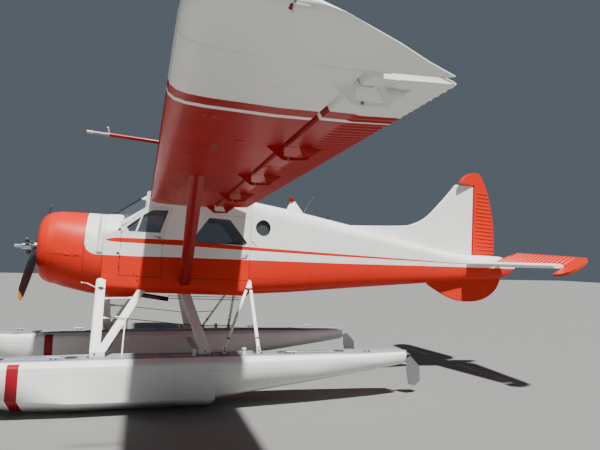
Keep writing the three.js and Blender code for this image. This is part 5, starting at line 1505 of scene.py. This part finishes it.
def addVeeCollars(bm):  # a collar near each end of both legs, and the pin at the foot
    pin, half = veeFittings["pin"], Vector(veeFittings["pin"]["half"])
    for strut in ("vee", "veeRear"):
        ends = struts[strut]
        for start, end, radius in veeFittings["collars"]:
            addTube(bm, between(*ends, start), between(*ends, end), radius, segments=14)
        spot = between(*ends, pin["at"])
        addTube(bm, spot - half, spot + half, pin["radius"], segments=8)


def addFootPlate(bm, foot, half):  # bolted plate on the deck, and the pin through the strut's foot
    leg, deck = rigging["leg"], floats["deck"]
    bolt, pin, wide = footPlate["bolt"], footPlate["pin"], footPlate["half"]
    reach, (low, high) = half + footPlate["margin"], footPlate["z"]
    addBlock(bm, (foot - reach, leg - wide, deck + low), (foot + reach, leg + wide, deck + high))
    low, high = bolt["z"]
    for x in (foot - half - bolt["x"], foot + half + bolt["x"]):
        for y in (leg - bolt["y"], leg + bolt["y"]):
            addTube(bm, (x, y, deck + low), (x, y, deck + high), bolt["radius"], segments=6)
    addTube(bm, (foot, leg - pin["half"], pin["z"]), (foot, leg + pin["half"], pin["z"]), pin["radius"],
            segments=8)


def addFootPlates(bm):
    halves, vees = rigging["plates"], rigging["veeFeet"]
    for foot, half in ((rigging["frontFoot"], halves["front"]), (rigging["rearFoot"], halves["rear"]),
                       (vees[0], halves["vee"]), (vees[1], halves["vee"])):
        addFootPlate(bm, foot, half)


def addBollards(bm):
    bollards = rigging["bollards"]
    for x in bollards["x"]:
        spot = Matrix.Translation((x, rigging["leg"] + bollards["out"], floats["deck"] - bollards["sunk"]))
        addTurned(bm, rigging["bollard"], spot, 20)


def addHandLines(bm):  # taut ropes from strut to strut, and one under the fuselage
    front, rear, vee = (between(*struts[name], share) for name, share in rigging["lineShares"].items())
    for start, end in ((front, rear), (rear, vee), [onFloats(*spot) for spot in rigging["underLine"]]):
        addTube(bm, start, end, rigging["lineRadius"], segments=8)


def buildStrutFittings():
    for sideName, side in sides.items():
        place = floatFrame @ across(side)
        for name, addShape, material, slot, bevel in (
                ("strutShackles", addShackle, castIron, "steel", 0.001),
                ("braceRods", addBraceRods, whiteEnamel, "hull_white", 0.0),
                ("rungCollars", addRungCollars, whiteEnamel, "hull_white", 0.0),
                ("veeCollars", addVeeCollars, moulding, "black", 0.0),
                ("footPlates", addFootPlates, forgedSteel, "steel", 0.0015),
                ("deckBollards", addBollards, whiteEnamel, "hull_white", 0.002),
                ("handLines", addHandLines, tarredRope, "black", 0.0)):
            bm = bmesh.new()
            addShape(bm)
            finishPiece(f"{name}_{sideName}", bm, material, "airframe", place, bevel=bevel)


buildStrutFittings()
print("floats and struts trimmed")


# Camera at the photograph's viewpoint, pale paper floor, soft overcast sky and one wide sun
shot = {"place": (2.3204, 9.4035, 2.0877), "turn": (93.825, -1.306, 163.612), "lens": 32.54,
        "sensor": 36.0, "farthest": 200.0}
lens = bpy.data.cameras.new("camera")
lens.lens, lens.sensor_width, lens.clip_end = shot["lens"], shot["sensor"], shot["farthest"]
camera = bpy.data.objects.new("camera", lens)
camera.location = shot["place"]
camera.rotation_euler = [math.radians(a) for a in shot["turn"]]
bpy.context.scene.collection.objects.link(camera)
bpy.context.scene.camera = camera

studio = {"floor": "#7f7f7c", "floorHalf": 60, "sky": "#b9cadc", "skyPower": 0.2, "sunPower": 8.5,
          "sunSpread": 2.5, "sunTurn": (28.0, 0.0, 188.5)}
bm = bmesh.new()
bmesh.ops.create_grid(bm, x_segments=1, y_segments=1, size=studio["floorHalf"])
ground = bpy.data.meshes.new("studioFloor")
bm.to_mesh(ground)
bm.free()
floorObject = bpy.data.objects.new("studioFloor", ground)
bpy.context.scene.collection.objects.link(floorObject)
floorMaterial, floorTree, floorShader = startMaterial("studioPaper", 0.9)  # uncoated paper: plain and matt
floorShader.inputs["Base Color"].default_value = toLinear(studio["floor"])
ground.materials.append(floorMaterial)
world = bpy.data.worlds.new("studio")
bpy.context.scene.world = world
world.use_nodes = True
background = world.node_tree.nodes["Background"]
background.inputs[0].default_value = toLinear(studio["sky"])
background.inputs[1].default_value = studio["skyPower"]
sunLight = bpy.data.lights.new("softSun", "SUN")
sunLight.energy, sunLight.angle = studio["sunPower"], math.radians(studio["sunSpread"])
sunObject = bpy.data.objects.new("softSun", sunLight)
sunObject.rotation_euler = [math.radians(a) for a in studio["sunTurn"]]
bpy.context.scene.collection.objects.link(sunObject)
print("camera and light set")
